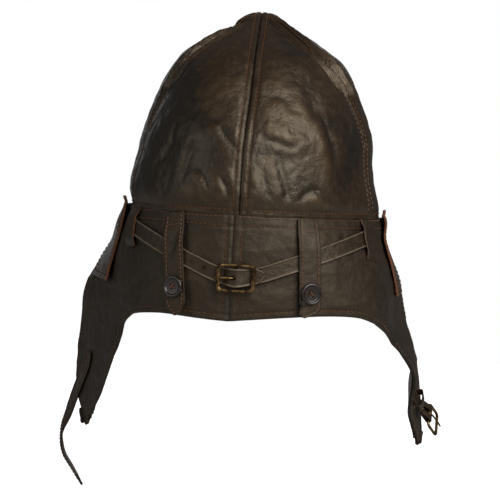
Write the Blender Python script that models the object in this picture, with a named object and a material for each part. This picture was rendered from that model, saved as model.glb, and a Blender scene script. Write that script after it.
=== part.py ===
"""Leather flying helmet: a six-panel crown over a neck curtain that runs into two ear flaps.

The head's centre at the waist seam is the origin. The wearer faces -Y, the wearer's left is +X and +Z is up.
Sheets of leather are grids laid on a few surface functions, then given their thickness.
"""

import math

import bmesh
import bpy
from mathutils import Matrix, Vector

MM = 0.001
LEFT = 1
RIGHT = -1
SIDES = (("left", LEFT), ("right", RIGHT))

# Leather, cloth and clearances
LEATHER = 1.8 * MM
STRAP_LEATHER = 1.2 * MM
LINING_CLOTH = 0.8 * MM
CLEARANCE = 0.35 * MM
SEW_GAP = 0.5 * MM

# Crown, measured over the leather
CROWN_HALF_WIDTH = 89 * MM
CROWN_HALF_LENGTH = 103 * MM
CROWN_HEIGHT = 145 * MM
PEAK_FORWARD = 30 * MM
PANEL_PUFF = 3.0 * MM
WAIST_TUCK = 3.0 * MM
WAIST_TUCK_HEIGHT = 9 * MM
# Half width and height along the crown's profile, as shares of the two sizes above
CROWN_PROFILE_SHARES = (
    (1.000, 0.00),
    (0.990, 0.13),
    (0.965, 0.26),
    (0.950, 0.37),
    (0.872, 0.50),
    (0.778, 0.63),
    (0.655, 0.75),
    (0.440, 0.85),
    (0.230, 0.94),
    (0.100, 0.985),
    (0.000, 1.00),
)
PANEL_TOP_SHARE = 0.975
LINING_CLIMB_SHARES = (0.03, 0.93)
SEAM_SWING_START_SHARE = 0.42
SEAM_SWING_SPAN_SHARE = 0.50
BACK_SEAM = math.radians(90)
SIDE_BACK_SEAM_LOW = math.radians(18)
SIDE_BACK_SEAM_HIGH = math.radians(42)
SIDE_FRONT_SEAM_LOW = math.radians(-40)
SIDE_FRONT_SEAM_HIGH = math.radians(-56)
FRONT_SEAM = math.radians(-90)
BROW_BAND_DEPTH = 22 * MM

# Curtain and ear flaps, in plan at the fold of the flaps
CURTAIN_DEPTH = 70 * MM
FOLD_DEPTH = 82 * MM
FOLD_GAP = 0.7 * MM
FLAP_DEPTH = 86 * MM
HEM_BACK = CROWN_HALF_LENGTH - WAIST_TUCK
HEM_BACK_HANDLE = 58 * MM
HEM_CORNER_HANDLE = 30 * MM
FLAP_REAR_LEFT = CROWN_HALF_WIDTH - 2 * MM
FLAP_REAR_RIGHT = CROWN_HALF_WIDTH + 17 * MM
FLAP_FRONT_LEFT = CROWN_HALF_WIDTH + 38 * MM
FLAP_FRONT_RIGHT = CROWN_HALF_WIDTH + 33 * MM
FLAP_REAR_X = {LEFT: FLAP_REAR_LEFT, RIGHT: FLAP_REAR_RIGHT}
FLAP_REAR_Y = 38 * MM
FLAP_FRONT_X = {LEFT: FLAP_FRONT_LEFT, RIGHT: FLAP_FRONT_RIGHT}
FLAP_FRONT_Y = -56 * MM
# The flaps lean out at the fold, and hang straighter with this depth
FLAP_LEAN = {LEFT: math.tan(math.radians(4)), RIGHT: math.tan(math.radians(27))}
FLAP_HANG_LEFT = 60 * MM
FLAP_HANG_RIGHT = 28 * MM
FLAP_HANG = {LEFT: FLAP_HANG_LEFT, RIGHT: FLAP_HANG_RIGHT}
CURTAIN_BULGE = 1.5 * MM
FRONT_EDGE = math.radians(-31)
CORNER_RUN_SHARE = 0.55
HEM_CORNER_START_SHARE = 0.40
FLAP_SHOULDER_SHARE = 0.14
FLAP_REAR_TIP_SHARE = 0.60
FLAP_FRONT_TIP_SHARE = 0.69
FLAP_REAR_CURVE = 1.15
FLAP_FRONT_START_SHARE = 0.60
FLAP_FRONT_CURVE = 1.25
LINING_MARGIN = 4 * MM
LINING_END_SHARE = 0.97
FLAP_LINING_SHARES = ((0.05, 0.95), (0.05, 0.93))

# Ear covers, sewn along their front edge and free behind
COVER_TOP = 1.5 * MM
COVER_DEPTH = 55 * MM
COVER_REAR_SHARE = 0.70
COVER_FRONT_SHARE = 0.93
COVER_PROUD_END = 3.0 * MM
COVER_PROUD_MIDDLE = 3.5 * MM

# Rear strap, its loops and its centre-bar buckle
REAR_STRAP_WIDTH = 11.5 * MM
REAR_STRAP_STANDOFF = 1.0 * MM
REAR_BUCKLE_DROP = 43 * MM
REAR_STRAP_LOOP_DROP = 13 * MM
REAR_STRAP_SAG = 1.35
REAR_STRAP_POINT = 7 * MM
BUCKLE_RUN_SHARE = 0.025
STRAP_END_RUN_SHARE = 0.53
STRAP_HOLE_SPACING = 11.2 * MM
STRAP_HOLE_RADIUS = 1.5 * MM
PRONG_HOLE_LENGTH = 5.6 * MM
PRONG_HOLE_PLACE = 2.3 * MM
LOOP_PLACE_Y = 44 * MM
LOOP_WIDTH = 16 * MM
LOOP_DEPTH = 29 * MM
REAR_FRAME_WIDTH = 26 * MM
REAR_FRAME_HEIGHT = 19 * MM
BAR_RADIUS = 1.1 * MM
CENTRE_BAR_RADIUS = 1.0 * MM
CENTRE_BAR_RECESS = 1.8 * MM
CENTRE_BAR_STANDOFF = 3.4 * MM
FRAME_CORNER = 2.5 * MM
CHAPE_LEATHER = 1.0 * MM
CHAPE_RETURN = 5 * MM
TAIL_LENGTH = 19 * MM
PRONG_RADIUS = 0.7 * MM
PRONG_EYE_WIDTH = 3.0 * MM
PRONG_EYE_WALL = 0.8 * MM
PRONG_OVERHANG = 2.6 * MM
PRONG_RISE_SHARE = 0.7
OPEN_HOLES = (2, 3)

# Goggle tabs with a sewn button and a hidden press stud
TAB_WIDTH = 16 * MM
TAB_LENGTH = 71 * MM
TAB_LEATHER = 1.6 * MM
TAB_TOP_LEFT = 47.5 * MM
TAB_TOP_RIGHT = 44.5 * MM
TAB_LOW_LEFT = 44 * MM
TAB_LOW_RIGHT = 49.5 * MM
TAB_TOP_X = {LEFT: TAB_TOP_LEFT, RIGHT: TAB_TOP_RIGHT}
TAB_LOW_X = {LEFT: TAB_LOW_LEFT, RIGHT: TAB_LOW_RIGHT}
TAB_RISE = 12 * MM
TAB_POINT = 7 * MM
TAB_TIP_WIDTH = 5 * MM
TAB_TIP_SHIFT_LEFT = 1 * MM
TAB_TIP_SHIFT_RIGHT = 4 * MM
TAB_TIP_SHIFT = {LEFT: TAB_TIP_SHIFT_LEFT, RIGHT: TAB_TIP_SHIFT_RIGHT}
BUTTON_FROM_TIP = 19 * MM
BUTTON_DROP = TAB_LENGTH - BUTTON_FROM_TIP
BUTTON_RADIUS = 7.5 * MM
BUTTON_THICKNESS = 3.0 * MM
BUTTON_RIM = 1.3 * MM
BUTTON_DISH = 0.9 * MM
BUTTON_HOLE_RADIUS = 0.8 * MM
BUTTON_HOLE_OFFSET = 1.4 * MM
STUD_RADIUS = 5.0 * MM
STUD_BASE = 0.6 * MM
STUD_POST_RADIUS = 2.2 * MM
STUD_POST_HEIGHT = 1.7 * MM
STUD_SOCKET_HEIGHT = 1.0 * MM
STUD_SOCKET_RADIUS = 4.5 * MM

# Chin strap on the left flap, buckle on the right flap; depths are below the fold
CHIN_STRAP_WIDTH = 14 * MM
CHIN_STRAP_LEATHER = 1.6 * MM
CHIN_STRAP_POINT = 12 * MM
CHIN_ROOT_GAP = 0.8 * MM
CHIN_ROOT_RUN_SHARE = 0.885
CHIN_ROOT_DEPTH = 43 * MM
CHIN_EDGE_RUN_SHARE = 0.95
CHIN_EDGE_DEPTH = 61 * MM
CHIN_ROOT_OVERHANG = 7.5 * MM
# Places of the free strap, from where it leaves the flap
CHIN_STRAP_FALL = (
    Vector((7.5 * MM, -14.5 * MM, -21 * MM)),
    Vector((13 * MM, -21 * MM, -37 * MM)),
    Vector((11.5 * MM, -25 * MM, -53 * MM)),
    Vector((4 * MM, -27 * MM, -66 * MM)),
    Vector((-4.5 * MM, -24.5 * MM, -78.5 * MM)),
)
CHIN_HOLE_COUNT = 5
CHIN_HOLE_SPACING = 12 * MM
CHIN_HOLE_START = 22 * MM
CHAPE_RUN_SHARE = 0.80
CHAPE_DEPTH = 46 * MM
CHAPE_LENGTH = 26 * MM
CHAPE_WIDTH = 13 * MM
CHAPE_RISE = 6.5 * MM
CHAPE_RISE_CURVE = 1.5
CHIN_CHAPE_RETURN = 9 * MM
CHAPE_SLANT = math.radians(45)
CHIN_FRAME_WIDTH = 22 * MM
CHIN_FRAME_LENGTH = 16 * MM
CHIN_FRAME_TILT = math.radians(18)
CHIN_KEEPER_WIDTH = 7 * MM
CHIN_KEEPER_HEIGHT = 6.6 * MM
CHIN_KEEPER_PLACE = 9 * MM
CHIN_KEEPER_FOOT = 2.4 * MM
# The keeper's arch, as shares of its half width and height
KEEPER_SHOULDER_SHARES = (1.0, 0.8)
KEEPER_TOP_SHARES = (0.7, 1.0)
KEEPER_CROWN_SHARE = 1.05
CHIN_PRONG_BEND_SHARE = 0.3
CHIN_CHAPE_CLOSE_SHARE = 0.6

# How finely the sheets and round pieces are cut
PANEL_ROWS = 15
BACK_PANEL_COLUMNS = 10
SIDE_PANEL_COLUMNS = 8
CURTAIN_COLUMNS = 22
CURTAIN_ROWS = 8
FLAP_COLUMNS = 7
FLAP_ROWS = 12
LINING_ROWS = 12
LINING_COLUMNS = 32
BROW_ROWS = 3
COVER_COLUMNS = 8
COVER_ROWS = 9
SHARP_ANGLE = math.radians(35)
LOOP_STEPS = 12
LOOP_FOOT_SHARE = 0.25
REAR_STRAP_STEPS = 44
REAR_STRAP_BUNCHING = 1.4
TAIL_POINT_SHARE = 0.3
WRAP_STEPS = 6
CORNER_STEPS = 3
TAB_STEPS = 4
CHIN_STRAP_STEPS = 26
CHAPE_STEPS = 8
CHAPE_START = 4 * MM
PRONG_ROOT_ANGLE = math.radians(25)
ROUND_SIDES = 24
BAR_SIDES = 8
STEP = 2e-3
RUN_HALVINGS = 24
MERGE = 1e-6

LEATHER_LOOK = ("dark brown leather", (0.035, 0.024, 0.017), 0.38, 0.0)
LINING_LOOK = ("brown lining cloth", (0.09, 0.06, 0.04), 0.9, 0.0)
BRASS_LOOK = ("aged brass", (0.28, 0.20, 0.10), 0.42, 1.0)
BUTTON_LOOK = ("brown horn button", (0.05, 0.025, 0.015), 0.25, 0.0)


def clear_scene():
    for item in list(bpy.data.objects):
        bpy.data.objects.remove(item, do_unlink=True)


def material(look):
    """The material of a look, made once: name, colour, roughness and metallic value."""
    name, colour, roughness, metallic = look
    made = bpy.data.materials.get(name)
    if made is None:
        made = bpy.data.materials.new(name)
        made.use_nodes = True
        shader = made.node_tree.nodes["Principled BSDF"]
        shader.inputs["Base Color"].default_value = (*colour, 1.0)
        shader.inputs["Roughness"].default_value = roughness
        shader.inputs["Metallic"].default_value = metallic
    return made


def add_object(name, bm, look, origin=None):
    """Closes a bmesh into a named object, with its own origin where a joint needs one."""
    bmesh.ops.recalc_face_normals(bm, faces=bm.faces[:])
    if bm.calc_volume(signed=True) < 0:
        bmesh.ops.reverse_faces(bm, faces=bm.faces[:])
    mesh = bpy.data.meshes.new(name)
    if origin is not None:
        bmesh.ops.translate(bm, verts=bm.verts[:], vec=-origin)
    bm.to_mesh(mesh)
    bm.free()
    mesh.shade_smooth()
    mesh.set_sharp_from_angle(angle=SHARP_ANGLE)
    mesh.materials.append(material(look))
    item = bpy.data.objects.new(name, mesh)
    if origin is not None:
        item.location = origin
    bpy.context.collection.objects.link(item)
    return item


def cut(item, cutter, operation="DIFFERENCE"):
    """Cuts or joins an object with another, which then no longer counts as a piece."""
    cutter.hide_render = True
    cutter.display_type = "WIRE"
    modifier = item.modifiers.new(cutter.name, "BOOLEAN")
    modifier.operation = operation
    modifier.solver = "EXACT"
    modifier.object = cutter


def lerp(a, b, share):
    return a + (b - a) * share


def clamp(share):
    return min(max(share, 0.0), 1.0)


def smooth(share):
    share = clamp(share)
    return share * share * (3 - 2 * share)


def spline(points, share):
    """A smooth curve through evenly spaced points, read at a share of the way along."""
    last = len(points) - 1
    place = share * last
    index = min(max(int(math.floor(place)), 0), last - 1)
    t = place - index
    p1, p2 = Vector(points[index]), Vector(points[index + 1])
    p0 = Vector(points[index - 1]) if index else p1 * 2 - p2
    p3 = Vector(points[index + 2]) if index + 2 <= last else p2 * 2 - p1
    ease = (p2 - p0) * t + (p0 * 2 - p1 * 5 + p2 * 4 - p3) * t**2
    return p1 + (ease + (p1 * 3 - p0 - p2 * 3 + p3) * t**3) / 2


def outward(place, u, v):
    """The direction that leaves a surface, on the side away from the head."""
    along = place(u + STEP, v) - place(u - STEP, v)
    down = place(u, v + STEP) - place(u, v - STEP)
    normal = along.cross(down).normalized()
    return normal if normal.dot(place(u, v)) > 0 else -normal


def sheet(name, columns, rows, place, thickness, look, origin=None):
    """A sheet whose outer face is place(u, v), for u and v from 0 to 1."""
    bm = bmesh.new()
    bmesh.ops.create_grid(bm, x_segments=columns, y_segments=rows, size=1)
    inner = []
    for vert in bm.verts:
        u, v = (vert.co.x + 1) / 2, (vert.co.y + 1) / 2
        vert.co = place(u, v)
        inner.append(vert.co - outward(place, u, v) * thickness)
    outer_count = len(inner)
    layer = bm.verts.layers.int.new("outer vertex")
    for index, vert in enumerate(bm.verts):
        vert[layer] = index
    bmesh.ops.extrude_face_region(bm, geom=bm.faces[:], use_keep_orig=True)
    bm.verts.ensure_lookup_table()
    for vert in bm.verts[outer_count:]:
        vert.co = inner[vert[layer]]
    return add_object(name, bm, look, origin)


def ribbon(name, stations, thickness, look, origin=None):
    """A flat strip through stations, each a centre, its width's direction and its width."""
    bm = bmesh.new()
    rings = []
    last = len(stations) - 1
    for index, (centre, across, width) in enumerate(stations):
        after = stations[min(index + 1, last)][0]
        tangent = (after - stations[max(index - 1, 0)][0]).normalized()
        side = (across - tangent * across.dot(tangent)).normalized()
        half = side * (width / 2)
        normal = tangent.cross(side) * (thickness / 2)
        corners = (half + normal, half - normal, -half - normal, normal - half)
        rings.append([bm.verts.new(centre + corner) for corner in corners])
    for low, high in zip(rings, rings[1:]):
        for index in range(len(low)):
            after = (index + 1) % len(low)
            bm.faces.new((low[index], low[after], high[after], high[index]))
    bm.faces.new(rings[0])
    bm.faces.new(rings[-1])
    return add_object(name, bm, look, origin)


def tube(points, radius, sides=BAR_SIDES, closed=False):
    """A bmesh of a round bar through the points, or round them where it is closed."""
    bm = bmesh.new()
    rings = []
    count = len(points)
    for index, point in enumerate(points):
        before = points[index - 1] if closed or index else point
        after = points[(index + 1) % count] if closed or index + 1 < count else point
        tangent = (after - before).normalized()
        side = tangent.orthogonal().normalized() if not rings else side_kept
        side = (side - tangent * side.dot(tangent)).normalized()
        side_kept = side
        ring = []
        for turn in range(sides):
            spin = Matrix.Rotation(math.tau * turn / sides, 3, tangent)
            ring.append(bm.verts.new(point + spin @ side * radius))
        rings.append(ring)
    pairs = list(zip(rings, rings[1:]))
    if closed:
        pairs.append((rings[-1], rings[0]))
    for low, high in pairs:
        for index in range(sides):
            after = (index + 1) % sides
            bm.faces.new((low[index], low[after], high[after], high[index]))
    if not closed:
        bm.faces.new(rings[0])
        bm.faces.new(rings[-1])
    return bm


def disc(radius, low, high, place, sides=ROUND_SIDES):
    """A bmesh of an upright cylinder from low to high, set down by the matrix place."""
    bm = bmesh.new()
    middle = Matrix.Translation((0, 0, (low + high) / 2))
    bmesh.ops.create_cone(
        bm,
        cap_ends=True,
        segments=sides,
        radius1=radius,
        radius2=radius,
        depth=high - low,
        matrix=place @ middle,
    )
    return bm


def turned(profile, place, sides=ROUND_SIDES, closed=False):
    """A bmesh of radii and heights spun round the Z axis of place; open ends are filled."""
    bm = bmesh.new()
    verts = [bm.verts.new((radius, 0, height)) for radius, height in profile]
    pairs = list(zip(verts, verts[1:]))
    if closed:
        pairs.append((verts[-1], verts[0]))
    bmesh.ops.spin(
        bm,
        geom=verts + [bm.edges.new(pair) for pair in pairs],
        axis=(0, 0, 1),
        cent=(0, 0, 0),
        angle=math.tau,
        steps=sides,
        use_merge=True,
    )
    bmesh.ops.remove_doubles(bm, verts=bm.verts[:], dist=MERGE)
    if not closed:
        ends = [edge for edge in bm.edges if edge.is_boundary]
        bmesh.ops.holes_fill(bm, edges=ends, sides=sides)
    bmesh.ops.transform(bm, matrix=place, verts=bm.verts[:])
    return bm


def box(low, high, place):
    """A bmesh of a box between two corners, set down by the matrix place."""
    bm = bmesh.new()
    low, high = Vector(low), Vector(high)
    size = Matrix.Diagonal((*(high - low), 1))
    bmesh.ops.create_cube(bm, size=1, matrix=place @ Matrix.Translation((low + high) / 2) @ size)
    return bm


def axes_at(point, along, out):
    """A matrix at a point whose X runs along, whose Z points out, and whose Y is square to both."""
    out = out.normalized()
    along = (along - out * along.dot(out)).normalized()
    side = out.cross(along)
    matrix = Matrix((along, side, out)).transposed().to_4x4()
    matrix.translation = point
    return matrix


# The crown


def seam_angle(low, high, height):
    """Seams swing towards each other as they climb to the peak."""
    return lerp(low, high, smooth((height - SEAM_SWING_START_SHARE) / SEAM_SWING_SPAN_SHARE))


def crown_point(angle, climb, side=LEFT):
    """The crown's outer face without its puffs; climb goes from the waist seam to the peak."""
    width, height = spline(CROWN_PROFILE_SHARES, climb)
    z = CROWN_HEIGHT * height
    tuck = WAIST_TUCK * math.exp(-((z / WAIST_TUCK_HEIGHT) ** 2))
    x = (CROWN_HALF_WIDTH - tuck) * width * math.cos(angle)
    y = (CROWN_HALF_LENGTH - tuck) * width * math.sin(angle) - PEAK_FORWARD * height**2
    return Vector((side * x, y, z))


def crown_panel(name, side, start, end, columns):
    """One gore: start and end give its two seams' angles, low and high."""

    def base(u, v):
        climb = PANEL_TOP_SHARE * v
        height = spline(CROWN_PROFILE_SHARES, climb)[1]
        first = seam_angle(*start, height)
        second = seam_angle(*end, height)
        return crown_point(lerp(first, second, u), climb, side)

    def place(u, v):
        point = base(u, v)
        puff = PANEL_PUFF * math.sin(math.pi * clamp(u)) * math.sin(math.pi * clamp(v))
        along = (base(u + STEP, v) - base(u - STEP, v)).normalized()
        inset = SEW_GAP / 2 * (1 - 2 * u)
        lift = Vector((0, 0, CLEARANCE * (1 - v)))
        return point + outward(base, u, v) * puff + along * inset + lift

    return sheet(name, columns, PANEL_ROWS, place, LEATHER, LEATHER_LOOK)


def crown():
    back = (BACK_SEAM, BACK_SEAM)
    side_back = (SIDE_BACK_SEAM_LOW, SIDE_BACK_SEAM_HIGH)
    side_front = (SIDE_FRONT_SEAM_LOW, SIDE_FRONT_SEAM_HIGH)
    front = (FRONT_SEAM, FRONT_SEAM)
    for label, side in SIDES:
        crown_panel("crown_back_" + label, side, back, side_back, BACK_PANEL_COLUMNS)
        crown_panel("crown_side_" + label, side, side_back, side_front, SIDE_PANEL_COLUMNS)
        crown_panel("crown_front_" + label, side, side_front, front, SIDE_PANEL_COLUMNS)


def crown_lining():
    """A cloth cap inside the panels, one shell from the waist seam to the peak."""
    inset = LEATHER + CLEARANCE * 2

    def base(u, v):
        return crown_point(math.tau * u, v)

    rows, columns = LINING_ROWS, LINING_COLUMNS
    bm = bmesh.new()
    outer, inner = [], []
    for row in range(rows):
        v = lerp(*LINING_CLIMB_SHARES, row / (rows - 1))
        rings = ([], [])
        for column in range(columns):
            u = column / columns
            point, normal = base(u, v), outward(base, u, v)
            for ring, depth in zip(rings, (inset, inset + LINING_CLOTH)):
                ring.append(bm.verts.new(point - normal * depth))
        outer.append(rings[0])
        inner.append(rings[1])
    for rings in (outer, inner):
        for low, high in zip(rings, rings[1:]):
            for index in range(columns):
                after = (index + 1) % columns
                bm.faces.new((low[index], low[after], high[after], high[index]))
        bm.faces.new(rings[-1])
    for index in range(columns):
        after = (index + 1) % columns
        bm.faces.new((outer[0][index], outer[0][after], inner[0][after], inner[0][index]))
    add_object("crown_lining", bm, LINING_LOOK)


# The skirt: curtain, ear flaps and what is sewn on them


def waist_plan(run):
    """The waist seam in plan, from the back seam to the front edge of the flap."""
    angle = lerp(BACK_SEAM, FRONT_EDGE, run)
    x = (CROWN_HALF_WIDTH - WAIST_TUCK) * math.cos(angle)
    y = (CROWN_HALF_LENGTH - WAIST_TUCK) * math.sin(angle)
    return Vector((x, y))


def flap_corners(side):
    rear = Vector((FLAP_REAR_X[side], FLAP_REAR_Y))
    front = Vector((FLAP_FRONT_X[side], FLAP_FRONT_Y))
    return rear, front


def fold_plan(side, run):
    """The skirt in plan at the fold: a curve round the neck, then the flap's straight line."""
    rear, front = flap_corners(side)
    if run >= CORNER_RUN_SHARE:
        return rear.lerp(front, (run - CORNER_RUN_SHARE) / (1 - CORNER_RUN_SHARE))
    t = run / CORNER_RUN_SHARE
    back = Vector((0, HEM_BACK))
    first = back + Vector((HEM_BACK_HANDLE, 0))
    second = rear + (rear - front).normalized() * HEM_CORNER_HANDLE
    low = back * (1 - t) ** 3 + first * (3 * t * (1 - t) ** 2)
    return low + second * (3 * t**2 * (1 - t)) + rear * t**3


def skirt_point(side, run, drop, out=0.0):
    """The skirt's outer face at a depth below the waist seam, moved out by a distance."""
    flare = math.sin(math.pi / 2 * clamp(drop / FOLD_DEPTH))
    plan = waist_plan(run).lerp(fold_plan(side, run), flare)
    bulge = CURTAIN_BULGE * math.sin(math.pi * clamp(drop / FOLD_DEPTH))
    below = max(drop - FOLD_DEPTH, 0) / FLAP_HANG[side]
    lean = FLAP_LEAN[side] * FLAP_HANG[side] * (1 - math.exp(-below))
    step = fold_plan(side, run + STEP) - fold_plan(side, run - STEP)
    away = Vector((-step.y, step.x)).normalized()
    plan = plan + away * (bulge + lean + out)
    return Vector((side * plan.x, plan.y, -drop))


def skirt_out(side, run, drop):
    """The outward direction of the skirt at a place."""
    return outward(lambda u, v: skirt_point(side, u, v), run, drop)


def back_point(run, drop, out=0.0):
    """A place on the back of the skirt; run is positive on the left and negative on the right."""
    side = LEFT if run >= 0 else RIGHT
    return skirt_point(side, abs(run), drop, out)


def run_at(side, drop, value, square_to="X"):
    """The run at which the skirt meets a plane square to X or Y, at a depth."""
    low, high = 0.0, 1.0
    for _ in range(RUN_HALVINGS):
        middle = (low + high) / 2
        point = skirt_point(side, middle, drop)
        beyond = side * point.x > value if square_to == "X" else point.y < value
        low, high = (low, middle) if beyond else (middle, high)
    return high


def curtain_depth(run):
    """How far the curtain hangs: straight round the neck, then down to the flap's fold."""
    span = CORNER_RUN_SHARE - HEM_CORNER_START_SHARE
    share = smooth((run - HEM_CORNER_START_SHARE) / span)
    return lerp(CURTAIN_DEPTH, FOLD_DEPTH - FOLD_GAP / 2, share)


def curtain():
    seam_share = SEW_GAP / 2 * CORNER_RUN_SHARE / (HEM_BACK_HANDLE * 3)
    for label, side in SIDES:

        def place(u, v, side=side):
            run = lerp(seam_share, 1, u)
            return skirt_point(side, run, lerp(CLEARANCE, curtain_depth(run), v))

        sheet("neck_curtain_" + label, CURTAIN_COLUMNS, CURTAIN_ROWS, place, LEATHER, LEATHER_LOOK)
        inset = LEATHER + CLEARANCE

        def inside(u, v, side=side):
            run = lerp(seam_share * 2, LINING_END_SHARE, u)
            low = curtain_depth(run) - LINING_MARGIN
            drop = lerp(LINING_MARGIN, low, v)
            return skirt_point(side, run, drop) - skirt_out(side, run, drop) * inset

        sheet(
            "curtain_lining_" + label,
            CURTAIN_COLUMNS,
            CURTAIN_ROWS,
            inside,
            LINING_CLOTH,
            LINING_LOOK,
        )


def flap_edges(v):
    """The flap's rear and front edges at a share of its depth, as runs."""
    low = clamp((v - FLAP_SHOULDER_SHARE) / (1 - FLAP_SHOULDER_SHARE))
    rear = FLAP_REAR_TIP_SHARE * low**FLAP_REAR_CURVE
    low = clamp((v - FLAP_FRONT_START_SHARE) / (1 - FLAP_FRONT_START_SHARE))
    front = 1 - (1 - FLAP_FRONT_TIP_SHARE) * low**FLAP_FRONT_CURVE
    return lerp(CORNER_RUN_SHARE, 1, rear), lerp(CORNER_RUN_SHARE, 1, front)


def fold_axis(side):
    """A point on the fold line, just outside the leather, and its direction towards the front."""
    out = CLEARANCE
    rear = skirt_point(side, CORNER_RUN_SHARE, FOLD_DEPTH, out)
    front = skirt_point(side, 1, FOLD_DEPTH, out)
    return rear.lerp(front, 0.5), (front - rear).normalized()


def ear_flaps():
    for label, side in SIDES:
        pivot = fold_axis(side)[0]

        def place(u, v, side=side):
            rear, front = flap_edges(v)
            drop = lerp(FOLD_DEPTH + FOLD_GAP / 2, FOLD_DEPTH + FLAP_DEPTH, v)
            return skirt_point(side, lerp(rear, front, u), drop)

        sheet("ear_flap_" + label, FLAP_COLUMNS, FLAP_ROWS, place, LEATHER, LEATHER_LOOK, pivot)
        inset = LEATHER + CLEARANCE

        def inside(u, v, side=side, place=place):
            u, v = (lerp(*ends, share) for ends, share in zip(FLAP_LINING_SHARES, (u, v)))
            return place(u, v) - outward(place, u, v) * inset

        sheet("flap_lining_" + label, FLAP_COLUMNS, FLAP_ROWS, inside, LINING_CLOTH, LINING_LOOK, pivot)


def brow_band():
    """A strip round the forehead, between the front edges of the two ear flaps."""
    turn = (LEATHER + SEW_GAP) / CROWN_HALF_WIDTH

    def place(u, v):
        angle = lerp(FRONT_EDGE - turn, turn - math.pi - FRONT_EDGE, u)
        x = (CROWN_HALF_WIDTH - WAIST_TUCK) * math.cos(angle)
        y = (CROWN_HALF_LENGTH - WAIST_TUCK) * math.sin(angle)
        return Vector((x, y, -lerp(CLEARANCE, BROW_BAND_DEPTH, v)))

    sheet("brow_band", CURTAIN_COLUMNS, BROW_ROWS, place, LEATHER, LEATHER_LOOK)


def cover_axis(side):
    """The ear cover's hinge line: along its front edge, outside the skirt's bulge there."""
    run = COVER_FRONT_SHARE
    low = COVER_TOP + COVER_DEPTH
    top = skirt_point(side, run, COVER_TOP)
    bottom = skirt_point(side, run, low)
    middle = skirt_point(side, run, (COVER_TOP + low) / 2)
    out = skirt_out(side, run, (COVER_TOP + low) / 2)
    bulge = (middle - (top + bottom) / 2).dot(out)
    return middle + out * max(CLEARANCE + LEATHER, -bulge), (bottom - top).normalized()


def ear_covers():
    for label, side in SIDES:

        def place(u, v, side=side):
            run = lerp(COVER_REAR_SHARE, COVER_FRONT_SHARE, u)
            drop = COVER_TOP + COVER_DEPTH * v
            proud = COVER_PROUD_END + COVER_PROUD_MIDDLE * math.sin(math.pi * clamp(v))
            out = CLEARANCE + LEATHER + proud * clamp(1 - u) ** 2
            return skirt_point(side, run, drop) + skirt_out(side, run, drop) * out

        pivot = cover_axis(side)[0]
        sheet("ear_cover_" + label, COVER_COLUMNS, COVER_ROWS, place, LEATHER, LEATHER_LOOK, pivot)


def back_out(run, drop):
    """The outward direction on the back of the skirt."""
    return skirt_out(LEFT if run >= 0 else RIGHT, abs(run), drop)


def back_down(run, drop):
    """The direction down the back of the skirt."""
    return back_point(run, drop + MM) - back_point(run, drop - MM)


def strap_drop(run):
    """How far below the waist seam the rear strap runs, lowest at its buckle."""
    turn = BACK_SEAM - FRONT_EDGE
    share = math.sin(turn * abs(run - BUCKLE_RUN_SHARE)) / math.sin(turn * STRAP_END_RUN_SHARE)
    return lerp(REAR_BUCKLE_DROP, REAR_STRAP_LOOP_DROP, share**REAR_STRAP_SAG)


def buckle_place():
    """The rear buckle's own axes: X along the strap to the wearer's right, Y up, Z out."""
    point = back_point(BUCKLE_RUN_SHARE, REAR_BUCKLE_DROP)
    right = back_point(BUCKLE_RUN_SHARE - STEP, REAR_BUCKLE_DROP)
    return axes_at(point, right - point, back_out(BUCKLE_RUN_SHARE, REAR_BUCKLE_DROP))


def run_scale():
    """Length along the skirt for the whole of a run, near the back seam."""
    step = back_point(BUCKLE_RUN_SHARE + STEP, REAR_BUCKLE_DROP)
    return (step - back_point(BUCKLE_RUN_SHARE - STEP, REAR_BUCKLE_DROP)).length / (2 * STEP)


def strap_station(run, lift, width):
    """One station of the rear strap, its inner face lifted off the curtain."""
    drop = strap_drop(run)
    centre = back_point(run, drop) + back_out(run, drop) * (lift + STRAP_LEATHER / 2)
    return centre, back_down(run, drop), width


def strap_loops():
    """Loops of the curtain's leather over the sewn ends of the rear strap."""
    over = REAR_STRAP_STANDOFF + STRAP_LEATHER + CLEARANCE + STRAP_LEATHER / 2
    foot = CLEARANCE + STRAP_LEATHER / 2
    for label, side in SIDES:
        stations = []
        for step in range(LOOP_STEPS + 1):
            t = step / LOOP_STEPS
            drop = lerp(CLEARANCE + STRAP_LEATHER, LOOP_DEPTH, t)
            run = run_at(side, drop, LOOP_PLACE_Y, "Y")
            rise = smooth(t / LOOP_FOOT_SHARE) * smooth((1 - t) / LOOP_FOOT_SHARE)
            centre = skirt_point(side, run, drop) + skirt_out(side, run, drop) * lerp(foot, over, rise)
            across = skirt_point(side, run + STEP, drop) - skirt_point(side, run - STEP, drop)
            stations.append((centre, across, LOOP_WIDTH))
        ribbon("strap_loop_" + label, stations, STRAP_LEATHER, LEATHER_LOOK)


def frame_path(width, length, radius, corner, lengthwise_start=0.0):
    """The centre line of a buckle's frame in its own plane, with rounded corners."""
    x0, x1 = lengthwise_start, lengthwise_start + length - 2 * radius
    y = width / 2 - radius
    turns = ((x1, y, 0), (x0, y, 90), (x0, -y, 180), (x1, -y, 270))
    points = []
    for x, edge, start in turns:
        cx = x - corner if x == x1 else x + corner
        cy = edge - math.copysign(corner, edge)
        for step in range(CORNER_STEPS + 1):
            angle = math.radians(start + 90 * step / CORNER_STEPS)
            points.append(Vector((cx + corner * math.cos(angle), cy + corner * math.sin(angle), 0)))
    return points


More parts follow.
